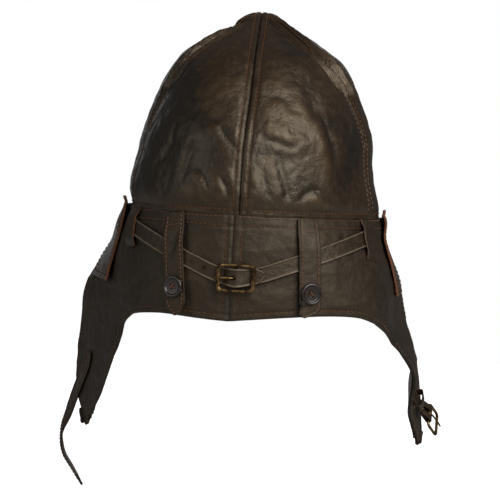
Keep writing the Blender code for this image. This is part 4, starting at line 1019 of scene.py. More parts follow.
def sag(points):
    """How far the soft crown has sunk in on the wearer's left, and how its tip stands up in a knob."""
    x, y, z = points[..., 0], points[..., 1], points[..., 2]
    # Two hollows, one under the other: how deep, how high and how far they reach, in millimetres
    sunk = 3.4 * hill(z / MM - 78, 38) + 2.8 * hill(z / MM - 48, 24)
    sunk = sunk * smooth((x - 20 * MM) / (50 * MM))
    radius = np.hypot(x, y + PEAK_FORWARD)
    beside = (x / np.maximum(radius, MM)) ** 2 * np.where(x > 0, 4.6, 1.4)
    knob = 1.8 * hill(radius / MM - 7, 7) - beside * hill(radius / MM - 25, 6)
    return (knob * (z > 0.10) - sunk) * MM


def crown_grid(side, first, second, columns, rows, seed):
    """One gore of the crown with its folds, between two seams."""
    looks = bpy.context.scene.helmet_leather
    u, v = shares(columns, rows)
    climb = 0.985 * v

    def base(u, climb):
        return crown_point(lerp(seam_angle(first, climb), seam_angle(second, climb), u), climb, side)

    points = base(u, climb)
    out = outward(base, u, np.minimum(climb, 0.98))
    puff = PANEL_PUFF * np.sin(np.pi * u) * np.sin(np.pi * np.clip(v / 0.96, 0, 1))
    along = unit(np.gradient(points, axis=0))
    points = points + out * puff[..., None] + along * (JOIN * (1 - 2 * u))[..., None]
    # The lower edge laps over the curtain's
    points[..., 2] += JOIN * (1 - v) - WAIST_LAP * np.exp(-points[..., 2] / (5 * MM))
    # The middle seam leans a little to the wearer's left as it comes down
    middle = 1 - np.abs(points[..., 0]) / CROWN_HALF_WIDTH
    lean = 2.6 * MM * smooth((100 * MM - points[..., 2]) / (70 * MM)) * middle
    points[..., 0] += np.where(points[..., 1] > 0, lean * smooth(points[..., 1] / (40 * MM)), 0)
    left, right, low, high = grid_reach(points)
    # Sewn edges keep the leather beside them flat
    calm = smooth(left / (9 * MM)) * smooth(right / (9 * MM)) * smooth(low / (14 * MM))
    calm = calm * smooth(high / (25 * MM))
    waves = wander(points, 34 * MM, seed) * 1.6 + wander(points, 17 * MM, seed + 2) * 0.5
    relief = looks.swell * calm * waves
    relief += looks.crumple * (0.35 + 0.65 * calm) * wander(points, 7.5 * MM, seed + 4)
    relief += looks.crumple * 0.35 * wander(points, 3.9 * MM, seed + 14)
    relief += looks.crumple * 0.8 * calm * folds(points, 26 * MM, seed + 6, (1, 1, 0.6)) + sag(points)
    # Gathers that run beside the side-back seams near the top
    nearest = right if first == BACK_SEAM else left
    if first in (BACK_SEAM, SIDE_BACK_SEAM):
        height = points[..., 2] / MM
        band = smooth((height - 80) / 14) * smooth((144 - height) / 10) * smooth(nearest / (3 * MM))
        width = 16 * MM if first == BACK_SEAM else 22 * MM
        gather = np.sin(math.tau * (nearest / GATHER_PITCH + 0.35 * wander(points, 22 * MM, seed + 12)))
        deep = 1.1 * MM if first == BACK_SEAM else 1.6 * MM
        relief += deep * gather * band * smooth((width - nearest) / (8 * MM))
    relief += np.minimum(seamed(left), seamed(right)) + seamed(low, 1.6 * MM, 0.7 * MM)
    for gap, shift in ((left, 8), (right, 9)):
        relief += puckers(points, gap, seed=seed + shift)
    relief += puckers(points, low, 8 * MM, 11 * MM, seed + 10, 0.4 * MM)
    for fold in CREASES:
        relief += crease(points, *fold) * calm
    return Grid(points, out, relief)


class HELMET_OT_crown(bpy.types.Operator):
    """Six leather gores with stitched seams"""

    bl_idname = "helmet.crown"
    bl_label = "Crown panels"

    def execute(self, context):
        for label, side in SIDES:
            gores = (
                ("crown_back_", BACK_SEAM, SIDE_BACK_SEAM, 116, 150, 1.0),
                ("crown_side_", SIDE_BACK_SEAM, SIDE_FRONT_SEAM, 96, 120, 2.0),
                ("crown_front_", SIDE_FRONT_SEAM, FRONT_SEAM, 64, 100, 3.0),
            )
            for name, first, second, columns, rows, seed in gores:
                grid = crown_grid(side, first, second, columns, rows, seed * side + 11)
                piece = hide(name + label, grid, LEATHER, leather())
                sewn = [grid.line(edge, SEAM_STITCHED, 6 * MM) for edge in ("left", "right", "low")]
                join(piece, stitches(*sewn))
                finish(piece, "gore_" + name[6:] + label, replaced=name + label)
        return {"FINISHED"}


class HELMET_OT_linings(bpy.types.Operator):
    """Twill linings of the crown, the curtain and the flaps"""

    bl_idname = "helmet.linings"
    bl_label = "Linings"

    def execute(self, context):
        u, v = shares(128, 72)
        climb = lerp(0.03, 0.93, v)
        base = crown_point(math.tau * u, climb)
        out = outward(lambda a, b: crown_point(math.tau * a, b), u, climb)
        inset = LEATHER + CLEARANCE * 2 + 0.3 * MM
        relief = np.minimum(0.5 * MM * wander(base, 28 * MM, 5) - 0.5 * MM, 0) + np.minimum(sag(base), 0)
        cloth(Grid(base - out * inset, out, relief), "crown_lining_cloth", "crown_lining", "head_shell")
        for label, side in SIDES:
            run = lerp(0.0003, 0.97, u)
            drop = lerp(LINING_MARGIN, curtain_depth(run) - LINING_MARGIN, v)
            grid = lining_grid(side, run, drop, 6)
            cloth(grid, "curtain_cloth_" + label, "curtain_lining_" + label, "head_shell")
            down = lerp(0.05, 0.93, v)
            rear, front = flap_edges(down)
            margin = lerp(0.06, 0.26, smooth((down - 0.65) / 0.28))
            run = lerp(rear, front, lerp(margin, 1 - margin, u))
            grid = lining_grid(side, run, FOLD_DEPTH + CLEARANCE + FLAP_DEPTH * down, 7)
            cloth(grid, "flap_cloth_" + label, "flap_lining_" + label, "ear_flap_%s_body" % label)
        return {"FINISHED"}


def lining_grid(side, run, drop, seed):
    """The inner face of the skirt's leather, with the cloth's own soft waves."""
    inner, out = skirt_point(side, run, drop), skirt_out(side, run, drop)
    relief = np.minimum(0.4 * MM * wander(inner, 22 * MM, seed) - 0.4 * MM, 0)
    return Grid(inner - out * (LEATHER + CLEARANCE + 0.2 * MM), out, relief)


def cloth(grid, name, node, body):
    """A lining laid on a grid."""
    piece = sheet(name, grid, LINING_CLOTH * 0.8, [twill()], bevel=0)
    cells = np.cross(np.diff(grid.points, axis=0)[:, :-1], np.diff(grid.points, axis=1)[:-1])
    finish(piece, name, body=body, slot="lining", replaced=node)
    return piece


# Skirt


def shade_darkened_leather():
    """The same hide, rougher, and painted darker as shade on the curtain, the flaps and the tabs."""
    return leather("sheep nappa darkened for shade", 0.58, 0.17)


# Columns to the fold's rear end and across the flap, rows to the fold and below it
SKIRT_NECK, SKIRT_FLAP, SKIRT_UPPER, SKIRT_LOWER = 92, 78, 74, 78
FLAP_TIP_ROUND = 4.5 * MM
SOFTENING = 60


def skirt_net(side):
    """Runs and depths of the skirt's grid, and which of its points lie past the hem and are cut away."""
    neck, upper = SKIRT_NECK, SKIRT_UPPER
    first = JOIN * CORNER_RUN / (HEM_BACK_HANDLE * 3)
    run_neck = np.linspace(first, CORNER_RUN, neck + 1)
    across = np.linspace(0, 1, SKIRT_FLAP + 1)
    columns, rows = neck + SKIRT_FLAP + 1, upper + SKIRT_LOWER + 1
    run, drop = np.zeros((columns, rows)), np.zeros((columns, rows))
    share = np.linspace(0, 1, upper + 1)
    for index in range(columns):
        here = run_neck[index] if index <= neck else lerp(CORNER_RUN, 1, across[index - neck])
        run[index, : upper + 1] = here
        hang = heights(HEM_HANG[side], min(here / CORNER_RUN, 1)) * (index < neck)
        drop[index, : upper + 1] = lerp(JOIN, curtain_depth(here) + hang, share)
    down = np.linspace(0, 1, SKIRT_LOWER + 1)
    rear, front = flap_edges(down)
    rear = rear - HEM_CORNER_FULL[side] * hill(down * FLAP_DEPTH - 16 * MM, 9 * MM)
    run[neck:, upper:] = lerp(rear[None], front[None], across[:, None])
    arch = 1 - np.sqrt(1 - 0.98 * (2 * across[:, None] - 1) ** 2)
    rounding = FLAP_TIP_ROUND * arch * smooth((down - 0.8) / 0.2)[None]
    drop[neck:, upper:] = lerp(FOLD_DEPTH, FOLD_DEPTH + FLAP_DEPTH, down)[None] - rounding
    run[:neck, upper + 1 :] = run[:neck, upper : upper + 1]
    drop[:neck, upper + 1 :] = drop[:neck, upper : upper + 1] + np.arange(1, SKIRT_LOWER + 1)[None] * MM
    cut = np.zeros((columns, rows), bool)
    cut[:neck, upper + 1 :] = True
    return run, drop, cut


def soften(points, drop, cut):
    """Soft leather has no hard corners: it bends at the fold, and the hem runs into the flap in a curve."""
    neck, upper = SKIRT_NECK, SKIRT_UPPER
    pull = hill(drop - FOLD_DEPTH, 12 * MM)
    pull[:neck] = 0
    away = np.linalg.norm(points - points[neck, upper], axis=-1)
    pull = np.maximum(pull, smooth(1.7 - away / HEM_CORNER_SOFT))[..., None]
    pull[cut] = 0
    inner = pull.copy()
    inner[: neck + 1, upper:] = 0
    for _ in range(SOFTENING):
        outline = np.concatenate((points[:neck, upper], points[neck, upper:]))
        weight = np.concatenate((pull[:neck, upper], pull[neck, upper:]))
        outline[1:-1] += weight[1:-1] * ((outline[:-2] + outline[2:]) / 2 - outline[1:-1])
        around = (points[:-2, 1:-1] + points[2:, 1:-1] + points[1:-1, :-2] + points[1:-1, 2:]) / 4
        points[1:-1, 1:-1] += inner[1:-1, 1:-1] * (around - points[1:-1, 1:-1])
        points[:neck, upper], points[neck, upper:] = outline[:neck], outline[neck:]
    points[:neck, upper + 1] = 2 * points[:neck, upper] - points[:neck, upper - 1]
    points[neck - 1, upper + 1 :] = 2 * points[neck, upper + 1 :] - points[neck + 1, upper + 1 :]


def skirt_relief(side, points, drop):
    """Waves, folds, gathers, turned edges and stitch channels of the skirt."""
    looks = bpy.context.scene.helmet_leather
    neck, upper = SKIRT_NECK, SKIRT_UPPER
    left, right, low, _ = grid_reach(points)
    hem, rear_edge, bottom = (np.full(drop.shape, 1.0) for _ in range(3))
    hem[: neck + 1, : upper + 1] = grid_reach(points[: neck + 1, : upper + 1])[3]
    reach = grid_reach(points[neck:, upper:])
    rear_edge[neck:, upper:], bottom[neck:, upper:] = reach[0], reach[3]
    edge = np.minimum(np.minimum(hem, rear_edge), np.minimum(bottom, right))
    seed = 20 + side * 3
    calm = smooth(left / (10 * MM)) * smooth(low / (12 * MM)) * smooth(hem / (9 * MM))
    relief = looks.swell * 0.75 * calm * wander(points, 30 * MM, seed) * 1.5
    small, fine = wander(points, 8 * MM, seed + 1), wander(points, 4 * MM, seed + 7)
    relief += looks.crumple * 0.9 * small + looks.crumple * 0.3 * fine
    relief += looks.crumple * 1.0 * folds(points, 20 * MM, seed + 2, (1, 1, 0.45)) * calm
    upright = folds(points, 15 * MM, seed + 8, (0.4, 0.4, 1))
    relief += looks.crumple * 1.1 * upright * calm * (drop < 60 * MM)
    waist = seamed(low, depth=1.4 * MM, stitched=WAIST_STITCHED[1])
    relief += seamed(left, 1.5 * MM, 0.8 * MM, CURTAIN_STITCHED[side]) + waist
    relief += turned_edge(edge)
    relief += puckers(points, edge, 6.5 * MM, 9 * MM, seed + 4, 0.3 * MM)
    return relief + puckers(points, low, 7 * MM, 14 * MM, seed + 5, 0.45 * MM)


def skirt_grid(side):
    """The curtain half and the flap below it as one piece of leather."""
    run, drop, cut = skirt_net(side)
    points, out = skirt_point(side, run, drop), skirt_out(side, run, drop)
    soften(points, drop, cut)
    # The middle seam is pulled to the wearer's left
    points[..., 0] += CURTAIN_SEAM_SHIFT * hill(points[..., 0], CURTAIN_SEAM_REACH)
    return Grid(points, out, skirt_relief(side, points, drop), cut)


class HELMET_OT_skirt(bpy.types.Operator):
    """The neck curtain and the ear flaps, each side one piece of leather that bends at the fold"""

    bl_idname = "helmet.skirt"
    bl_label = "Neck curtain and ear flaps"

    def execute(self, context):
        for label, side in SIDES:
            grid, neck, upper = skirt_grid(side), SKIRT_NECK, SKIRT_UPPER
            piece = hide("skirt_" + label, grid, LEATHER, shade_darkened_leather())
            curtain = grid.part(slice(0, neck + 1), slice(0, upper + 1))
            whole = grid.part(slice(None), slice(0, upper + 1))
            flap = grid.part(slice(neck, None), slice(upper, None))
            lines = [
                curtain.line("left", CURTAIN_STITCHED[side], 9 * MM),
                curtain.line("high", EDGE_STITCHED, 5 * MM),
                *(whole.line("low", gap, 4 * MM) for gap in WAIST_STITCHED),
                whole.line("right", EDGE_STITCHED, 4 * MM),
                *(flap.line(edge, EDGE_STITCHED, 3 * MM) for edge in ("left", "right")),
                flap.line("high", EDGE_STITCHED, 5 * MM),
            ]
            join(piece, stitches(*lines))
            finish(piece, "skirt_" + label, body=None)
            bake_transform(piece)
            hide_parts("neck_curtain_" + label, "ear_flap_" + label)
        return {"FINISHED"}


class HELMET_OT_brow_band(bpy.types.Operator):
    """The band over the forehead"""

    bl_idname = "helmet.brow_band"
    bl_label = "Brow band"

    def execute(self, context):
        turn = -3 * MM / CROWN_HALF_WIDTH
        u, v = shares(150, 24)

        def place(u, v):
            angle = lerp(FRONT_EDGE - turn, turn - math.pi - FRONT_EDGE, u)
            x = (CROWN_HALF_WIDTH - WAIST_TUCK) * np.cos(angle)
            y = (CROWN_HALF_LENGTH - WAIST_TUCK) * np.sin(angle)
            return np.stack((x, y, -lerp(JOIN, BROW_BAND_DEPTH, v)), -1)

        points, out = place(u, v), outward(place, u, v)
        left, right, low, high = grid_reach(points)
        relief = seamed(low, stitched=0) + turned_edge(high)
        relief -= (LEATHER + 0.3 * MM) * (1 - smooth((np.minimum(left, right) - 4 * MM) / (3 * MM)))
        relief += 0.3 * MM * wander(points, 9 * MM, 31) + puckers(points, high, 7 * MM, 9 * MM, 32)
        grid = Grid(points, out, relief)
        piece = hide("brow", grid, LEATHER, leather())
        join(piece, stitches(grid.line("high", EDGE_STITCHED, 4 * MM), grid.line("low", 5 * MM, 4 * MM)))
        finish(piece, "brow_leather", replaced="brow_band")
        return {"FINISHED"}


class HELMET_OT_ear_covers(bpy.types.Operator):
    """The ear covers, sewn in front and free behind, with raw cut edges"""

    bl_idname = "helmet.ear_covers"
    bl_label = "Ear covers"

    def execute(self, context):
        for label, side in SIDES:
            u, v = shares(48, 64)
            run = lerp(COVER_REAR - COVER_WIDER[side], COVER_FRONT, u)
            drop = COVER_TOP + COVER_DEPTH * v - COVER_RISE * (1 - v) * (1 - smooth(u / 0.4))
            proud = heights(COVER_PROUD[side], v)
            out = skirt_out(side, run, np.maximum(drop, MM))
            lift = LEATHER + CLEARANCE * smooth((1 - u) / 0.3) + proud * (1 - u) ** 2
            lift += 0.8 * MM * smooth(-drop / COVER_RISE)
            lift += COVER_BULGE[side] * np.sin(np.pi * u) * hill(v - 0.22, 0.2)
            points = skirt_point(side, run, drop) + out * lift[..., None]
            left, right, low, high = grid_reach(points)
            relief = loose_relief(points, 40 + side, 0.5)
            relief += rolled(right, 1.6 * MM, 0.7 * MM)
            for edge in (left, low, high):
                relief -= channel(edge, COVER_STITCHED)
            grid = Grid(points, out, relief)
            piece = hide("cover_" + label, grid, LEATHER, leather(), rim=1)
            lines = [grid.line(edge, COVER_STITCHED, 4 * MM) for edge in ("left", "low", "high")]
            lines += [grid.line("right", gap, 3 * MM) for gap in (3 * MM, 6 * MM)]
            join(piece, stitches(*lines))
            finish(piece, "cover_" + label, body="ear_cover_%s_body" % label, replaced="ear_cover_" + label)
        return {"FINISHED"}


def loose_relief(points, seed, amount):
    """Waves and small folds of loose leather."""
    looks = bpy.context.scene.helmet_leather
    waves, small = wander(points, 28 * MM, seed), wander(points, 8 * MM, seed + 1)
    return (looks.swell * waves + looks.crumple * small) * amount


# Straps


def strap_drop(run):
    """How far below the waist seam the rear strap runs, lowest at its buckle."""
    turn = BACK_SEAM[0] - FRONT_EDGE
    part = math.sin(turn * abs(run - BUCKLE_RUN)) / math.sin(turn * STRAP_END_RUN)
    taut = STRAP_TAUT * math.sin(math.pi * min(part, 1)) * float(smooth(part / 0.3))
    return lerp(REAR_BUCKLE_DROP, REAR_LOOP_DROP, part**REAR_STRAP_SAG) - taut


def buckle_place():
    """The rear buckle's own axes: X along the strap to the wearer's right, Y up, Z out."""
    point = back_point(BUCKLE_RUN, REAR_BUCKLE_DROP)
    right = back_point(BUCKLE_RUN - STEP, REAR_BUCKLE_DROP)
    return axes_at(point, right - point, back_out(BUCKLE_RUN, REAR_BUCKLE_DROP))


def run_scale():
    step = back_point(BUCKLE_RUN + STEP, REAR_BUCKLE_DROP) - back_point(BUCKLE_RUN - STEP, REAR_BUCKLE_DROP)
    return float(np.linalg.norm(step)) / (2 * STEP)


def strap_station(run, lift):
    drop = strap_drop(run)
    centre = back_point(run, drop) + back_out(run, drop) * (lift + STRAP_LEATHER / 2)
    return centre, back_point(run, drop + MM) - back_point(run, drop - MM)


def folded_edges(reach, points, high=0.55 * MM):
    """Relief of a strap with folded edges: a raised roll along each side, wrinkles between."""
    relief = np.zeros(points.shape[:-1])
    for gap in reach[:2]:
        relief += high * hill(gap - 0.9 * MM, 0.55 * MM) + rolled(gap, 0.7 * MM, 0.4 * MM)
    return relief + 0.12 * MM * wander(points, 5 * MM, 51)


def low_edges(reach, points):
    return folded_edges(reach, points, 0.12 * MM)


def punched_strap(place, scale):
    """The strap's half with holes and a pointed tail, which runs over the centre bar."""
    base, bar_z = REAR_STRAP_STANDOFF, CENTRE_BAR_STANDOFF
    hump = bar_z + CENTRE_BAR_RADIUS + CLEARANCE * 2 + CHAPE_LEATHER
    under = base + STRAP_LEATHER + CLEARANCE
    half_frame = REAR_FRAME_WIDTH / 2 - 2 * BAR_RADIUS
    tail = BUCKLE_RUN - TAIL_LENGTH / scale
    centres, across, widths = [], [], []
    for share in np.linspace(0, 1, 181) ** 1.4:
        run = lerp(tail, STRAP_END_RUN, share)
        away = (run - BUCKLE_RUN) * scale
        level = lerp(under, base, smooth((away + half_frame) / (2 * half_frame)))
        wave = math.cos(math.pi / 2 * min(abs(away) / half_frame, 1)) ** 2
        point = min((run - tail) * scale / REAR_STRAP_POINT, 1)
        centre, down = strap_station(run, lerp(level, hump, wave))
        centres.append(centre)
        across.append(down)
        spread = 1 + 0.14 * math.exp(-((away / (8 * MM)) ** 2))
        widths.append(REAR_STRAP_WIDTH * spread * lerp(TAIL_POINT, 1, math.sin(math.pi / 2 * point)))
    out = direction(place, (0, 0, 1))
    grid = path_grid(centres, across, widths, STRAP_LEATHER / 2, 28, out, 0.3, folded_edges)
    piece = hide("strap", grid, STRAP_LEATHER, strap_leather())
    hole = place @ Matrix.Translation((-PRONG_HOLE_PLACE, 0, 0))
    drill(piece, HOLE_RADIUS, 19 * MM, hole, squeeze=PRONG_HOLE_LENGTH / 2 / HOLE_RADIUS)
    for index in (2, 3):
        run = BUCKLE_RUN + (PRONG_HOLE_PLACE + HOLE_SPACING * index) / scale
        centre, down = strap_station(run, base)
        drill(piece, HOLE_RADIUS, 4 * MM, axes_at(centre, down, back_out(run, strap_drop(run))))
    finish(piece, "strap_punched", slot="strap_leather", replaced="rear_strap_left")


def buckled_strap(place, scale):
    """The strap's half that is folded round the centre bar, slotted for the prong."""
    base, bar_z = REAR_STRAP_STANDOFF, CENTRE_BAR_STANDOFF
    wrap = CENTRE_BAR_RADIUS + CLEARANCE + CHAPE_LEATHER / 2
    fold = []
    for angle in np.radians(np.linspace(-90, 90, 25)):
        fold.append((-wrap * math.cos(angle), 0, bar_z + wrap * math.sin(angle)))
    close = base + STRAP_LEATHER + CLEARANCE + CHAPE_LEATHER / 2
    fold += [(CHAPE_RETURN / 2, 0, (bar_z + wrap + close) / 2), (CHAPE_RETURN, 0, close)]
    centres, across = [], []
    for share in np.linspace(0, 1, 150):
        run = lerp(-STRAP_END_RUN, -CHAPE_START / scale + BUCKLE_RUN, share)
        centre, down = strap_station(run, base - (STRAP_LEATHER - CHAPE_LEATHER) / 2)
        centres.append(centre)
        across.append(down)
    for point in fold:
        centres.append(np.array(place @ Vector(point)))
        across.append(-direction(place, (0, 1, 0)))
    widths = [REAR_STRAP_WIDTH] * len(centres)
    out = direction(place, (0, 0, 1))
    grid = path_grid(centres, across, widths, CHAPE_LEATHER / 2, 28, out, 0.7, folded_edges)
    reach = [(place.inverted() @ Vector(point)).x for point in centres]
    slot(grid, next(index for index, x in enumerate(reach) if x < CHAPE_RETURN and index > 90))
    piece = hide("strap", grid, CHAPE_LEATHER, strap_leather())
    finish(piece, "strap_buckled", slot="strap_leather", replaced="rear_strap_right")


class HELMET_OT_rear_strap(bpy.types.Operator):
    """The rear strap in its two halves, one punched, one folded round the buckle's centre bar"""

    bl_idname = "helmet.rear_strap"
    bl_label = "Rear strap"

    def execute(self, context):
        place, scale = buckle_place(), run_scale()
        punched_strap(place, scale)
        buckled_strap(place, scale)
        return {"FINISHED"}


def slot(grid, first):
    """Leaves out the middle of a strap from a row to its end, where a prong turns on the bar in its fold."""
    offset = np.abs(grid.reach[0] - grid.reach[1]) / 2
    grid.cut = offset < PRONG_EYE_WIDTH / 2 + CLEARANCE
    grid.cut[:, :first] = False


def strap_leather():
    # The low ridge threshold paints a pale highlight along the straps' folded edges.
    return leather("finished strap leather", 0.85, 0.08, 0.12)


class HELMET_OT_strap_loops(bpy.types.Operator):
    """Loops over the sewn ends of the rear strap"""

    bl_idname = "helmet.strap_loops"
    bl_label = "Strap loops"

    def execute(self, context):
        over = REAR_STRAP_STANDOFF + STRAP_LEATHER * 1.5 + CLEARANCE
        foot = CLEARANCE + STRAP_LEATHER / 2
        for label, side in SIDES:
            centres, across = [], []
            for t in np.linspace(0, 1, 49):
                drop = lerp(CLEARANCE + STRAP_LEATHER, LOOP_DEPTH, t)
                run = run_at(side, drop, LOOP_PLACE_Y + LOOP_SLANT[side] * t, 1)
                rise = lerp(foot, over, smooth(t / LOOP_FOOT) * smooth((1 - t) / LOOP_FOOT))
                centres.append(skirt_point(side, run, drop) + skirt_out(side, run, drop) * rise)
                across.append(skirt_point(side, run + STEP, drop) - skirt_point(side, run - STEP, drop))
            widths = [LOOP_WIDTH] * len(centres)
            grid = path_grid(centres, across, widths, STRAP_LEATHER / 2, 20, centres[24], 0.5, low_edges)
            piece = hide("loop", grid, STRAP_LEATHER, strap_leather(), rim=1)
            finish(piece, "loop_" + label, slot="strap_leather", replaced="strap_loop_" + label)
        return {"FINISHED"}


# Tabs and buttons


def tab_run(side, drop):
    return run_at(side, drop, lerp(TAB_TOP_X[side], TAB_LOW_X[side], drop / TAB_LENGTH))


def tab_seat(side, drop):
    return skirt_point(side, tab_run(side, drop), drop)


def tab_across(side, drop):
    run = tab_run(side, drop)
    return unit(skirt_point(side, run + STEP, drop) - skirt_point(side, run - STEP, drop))


def tab_axes(side):
    top, low = tab_seat(side, TAB_RISE), tab_seat(side, TAB_LENGTH)
    across = tab_across(side, TAB_LENGTH / 2)
    out = unit(np.cross(low - top, across))
    return across, out if np.dot(out, top) > 0 else -out


def tab_lift(side):
    """How far a tab's middle stands off, clear of the rear strap and of its own stud."""
    top, out = tab_seat(side, TAB_RISE), tab_axes(side)[1]
    strap = REAR_STRAP_STANDOFF + STRAP_LEATHER + CLEARANCE
    seat = np.dot(tab_seat(side, BUTTON_DROP) - top, out)
    lifts = [seat + CLEARANCE * 4 + STUD_BASE + STUD_SOCKET_HEIGHT]
    for step in range(1, 4):
        lifts.append(np.dot(tab_seat(side, lerp(TAB_RISE, BUTTON_DROP, step / 4)) - top, out) + strap)
    return max(lifts) + TAB_LEATHER / 2


def tab_place(side, out):
    top, low = tab_seat(side, TAB_RISE), tab_seat(side, TAB_LENGTH)
    point = lerp(top, low, (BUTTON_DROP - TAB_RISE) / (TAB_LENGTH - TAB_RISE))
    across, normal = tab_axes(side)
    return axes_at(point + normal * (tab_lift(side) + out), across, normal)


def tab_relief(side):
    """Relief of a tab: stitched edges, a slanted dent in the left one, and a pull round the button."""
    out, lift = tab_axes(side)[1], tab_lift(side)

    def relief(reach, points):
        height = 0.14 * MM * wander(points, 6 * MM, 70 + side)
        height += 0.12 * MM * wander(points, 14 * MM, 72 + side)
        for gap in reach[:2]:
            height += rolled(gap, 1.0 * MM, 0.45 * MM)
            height -= 0.3 * MM * hill(gap - TAB_STITCHED, 0.8 * MM)
        if side == LEFT:
            dent = points - (tab_seat(side, 24 * MM) + out * lift)
            slanted = dent[..., 0] + 0.25 * dent[..., 2]
            height -= 1.7 * MM * hill(slanted, 2.0 * MM) * hill(dent[..., 2], 9 * MM)
        button = np.array(tab_place(side, TAB_LEATHER / 2).translation)
        gap = np.linalg.norm(points - button, axis=-1)
        return height - 0.35 * MM * hill(gap, 6 * MM)

    return relief


class HELMET_OT_tabs(bpy.types.Operator):
    """The two goggle tabs with their stitched borders"""

    bl_idname = "helmet.tabs"
    bl_label = "Goggle tabs"

    def execute(self, context):
        for label, side in SIDES:
            across, out = tab_axes(side)
            lift, foot = tab_lift(side), CLEARANCE + TAB_LEATHER / 2
            centres, sides, widths = [], [], []
            top, low = tab_seat(side, TAB_RISE) + out * lift, tab_seat(side, TAB_LENGTH) + out * lift
            first = CLEARANCE + TAB_LEATHER
            last = TAB_LENGTH - TAB_SHORTER[side]
            for drop in np.linspace(first, last, 92):
                share = (drop - TAB_RISE) / (TAB_LENGTH - TAB_RISE)
                end = np.clip(1 - (last - drop) / TAB_POINT, 0, 1)
                level = smooth((drop - first) / TAB_FOOT)
                plane = lerp(top, low, share) - across * TAB_TIP_SHIFT[side] * end
                centres.append(lerp(tab_seat(side, drop) + out * foot, plane, level))
                sides.append(lerp(tab_across(side, drop), across, level))
                widths.append(lerp(TAB_WIDTH, TAB_TIP_WIDTH, end))
            relief = tab_relief(side)
            grid = path_grid(centres, sides, widths, TAB_LEATHER / 2, 22, out, 0.5, relief)
            piece = hide("tab", grid, TAB_LEATHER, shade_darkened_leather())
            lines = [grid.line(edge, TAB_STITCHED, 1 * MM) for edge in ("left", "right")]
            cross = grid.line("low", 8.5 * MM, TAB_STITCHED)
            join(piece, stitches(*lines, cross, pitch=3.1 * MM))
            finish(piece, "tab_" + label, body="goggle_tab_%s_body" % label, replaced="goggle_tab_" + label)
        return {"FINISHED"}


class HELMET_OT_buttons(bpy.types.Operator):
    """Two four-hole buttons sewn on with a thread cross"""

    bl_idname = "helmet.buttons"
    bl_label = "Buttons"

    def execute(self, context):
        radius, high = BUTTON_RADIUS / MM, BUTTON_THICKNESS / MM
        outline = (
            (0, 0.35),
            (radius - 1.6, 0.35),
            (radius - 0.7, 0.6),
            (radius - 0.12, 1.1),
            (radius, 1.6),
            (radius - 0.1, 2.2),
            (radius - 0.45, 2.75),
            (radius - 1.0, high),
            (radius - 1.5, 2.92),
            (radius - 1.95, 2.6),
            (radius - 2.3, 2.2),
            (radius - 2.8, 2.0),
            (2.6, 1.95),
            (1.2, 1.85),
            (0, 1.8),
        )
        amount = np.linspace(0, 1, 70)
        profile = [tuple(row) for row in spline(np.array(outline) * MM, amount)]
        profile[0] = (0.0, profile[0][1])
        profile[-1] = (0.0, profile[-1][1])
        for label, side in SIDES:
            body = "goggle_tab_%s_body" % label
            place = tab_place(side, TAB_LEATHER / 2 + CLEARANCE - 0.3 * MM)
            place = place @ Matrix.Rotation(math.radians(20 * side), 4, "Z")
            piece = turned("button", profile, place, 64)
            offset = BUTTON_HOLE_OFFSET
            for x, y in ((1, 1), (1, -1), (-1, 1), (-1, -1)):
                hole = place @ Matrix.Translation((x * offset, y * offset, 0))
                drill(piece, BUTTON_HOLE_RADIUS, 4 * MM, hole, 20)
            node = "goggle_button_" + label
            finish(piece, "button_" + label, horn(), body=body, slot="button", replaced=node)
            threads = []
            for x in (1, -1):
                for turn in (-0.25, 0.25):
                    path = [
                        (-offset * x, -offset, 0.6 * MM),
                        (-offset * x * 0.9, -offset * 0.9 + turn * MM, 2.15 * MM),
                        (turn * MM, turn * MM * x, (2.65 + 0.25 * (x > 0)) * MM),
                        (offset * x * 0.9, offset * 0.9 + turn * MM, 2.15 * MM),
                        (offset * x, offset, 0.6 * MM),
                    ]
                    strand = bar("strand", path, 0.33 * MM, resolution=2, smooth_path=True)
                    strand.data.transform(place)
                    threads.append(strand)
            piece = join(threads[0], *threads[1:])
            finish(piece, "button_thread_" + label, thread(), body=body, slot=None)
        return {"FINISHED"}


# Buckles


def frame_path(width, length, corner, start_x=0.0, bow=0.0, steps=10):
    """The centre line of a buckle's frame in its own plane, with rounded corners and bowed long bars."""
    x0, x1, y = start_x, start_x + length - 2 * BAR_RADIUS, width / 2 - BAR_RADIUS
    points = []
    for x, edge, turn in ((x1, y, 0), (x0, y, 90), (x0, -y, 180), (x1, -y, 270)):
        cx = x - corner if x == x1 else x + corner
        cy = edge - math.copysign(corner, edge)
        for step in range(steps + 1):
            angle = math.radians(turn + 90 * step / steps)
            points.append((cx + corner * math.cos(angle), cy + corner * math.sin(angle), 0))
    dense = []
    for a, b in zip(points, points[1:] + points[:1]):
        count = max(int(math.dist(a, b) / (1.0 * MM)), 1)
        dense += [tuple(lerp(np.array(a), np.array(b), step / count)) for step in range(count)]
    middle, half = (x0 + x1) / 2, (x1 - x0) / 2
    bowed = [math.copysign(bow, y) * (1 - ((x - middle) / half) ** 2) for x, y, _ in dense]
    return [(x, y + out, z) for (x, y, z), out in zip(dense, bowed)]


def prong(name, radius, finger, place, node):
    """A prong: an eye that turns on a bar along Y, and a finger that rests on the far bar."""
    inner = radius + CLEARANCE
    turn = Matrix.Rotation(math.radians(-90), 4, "X")
    profile = [(inner + wall * MM, height * MM) for wall, height in EYE_PROFILE]
    eye = turned(name, profile, place @ turn, 32)
    radii = [PRONG_RADIUS * part for part in (1.05, 1, 1, 1, 0.7)[-len(finger) :]]
    rod = bar(name + "_rod", finger, radii, smooth_path=True)
    rod.data.transform(place)
    join(eye, rod)
    return finish(eye, name, brass(), body=node + "_body", slot="brass", replaced=node)


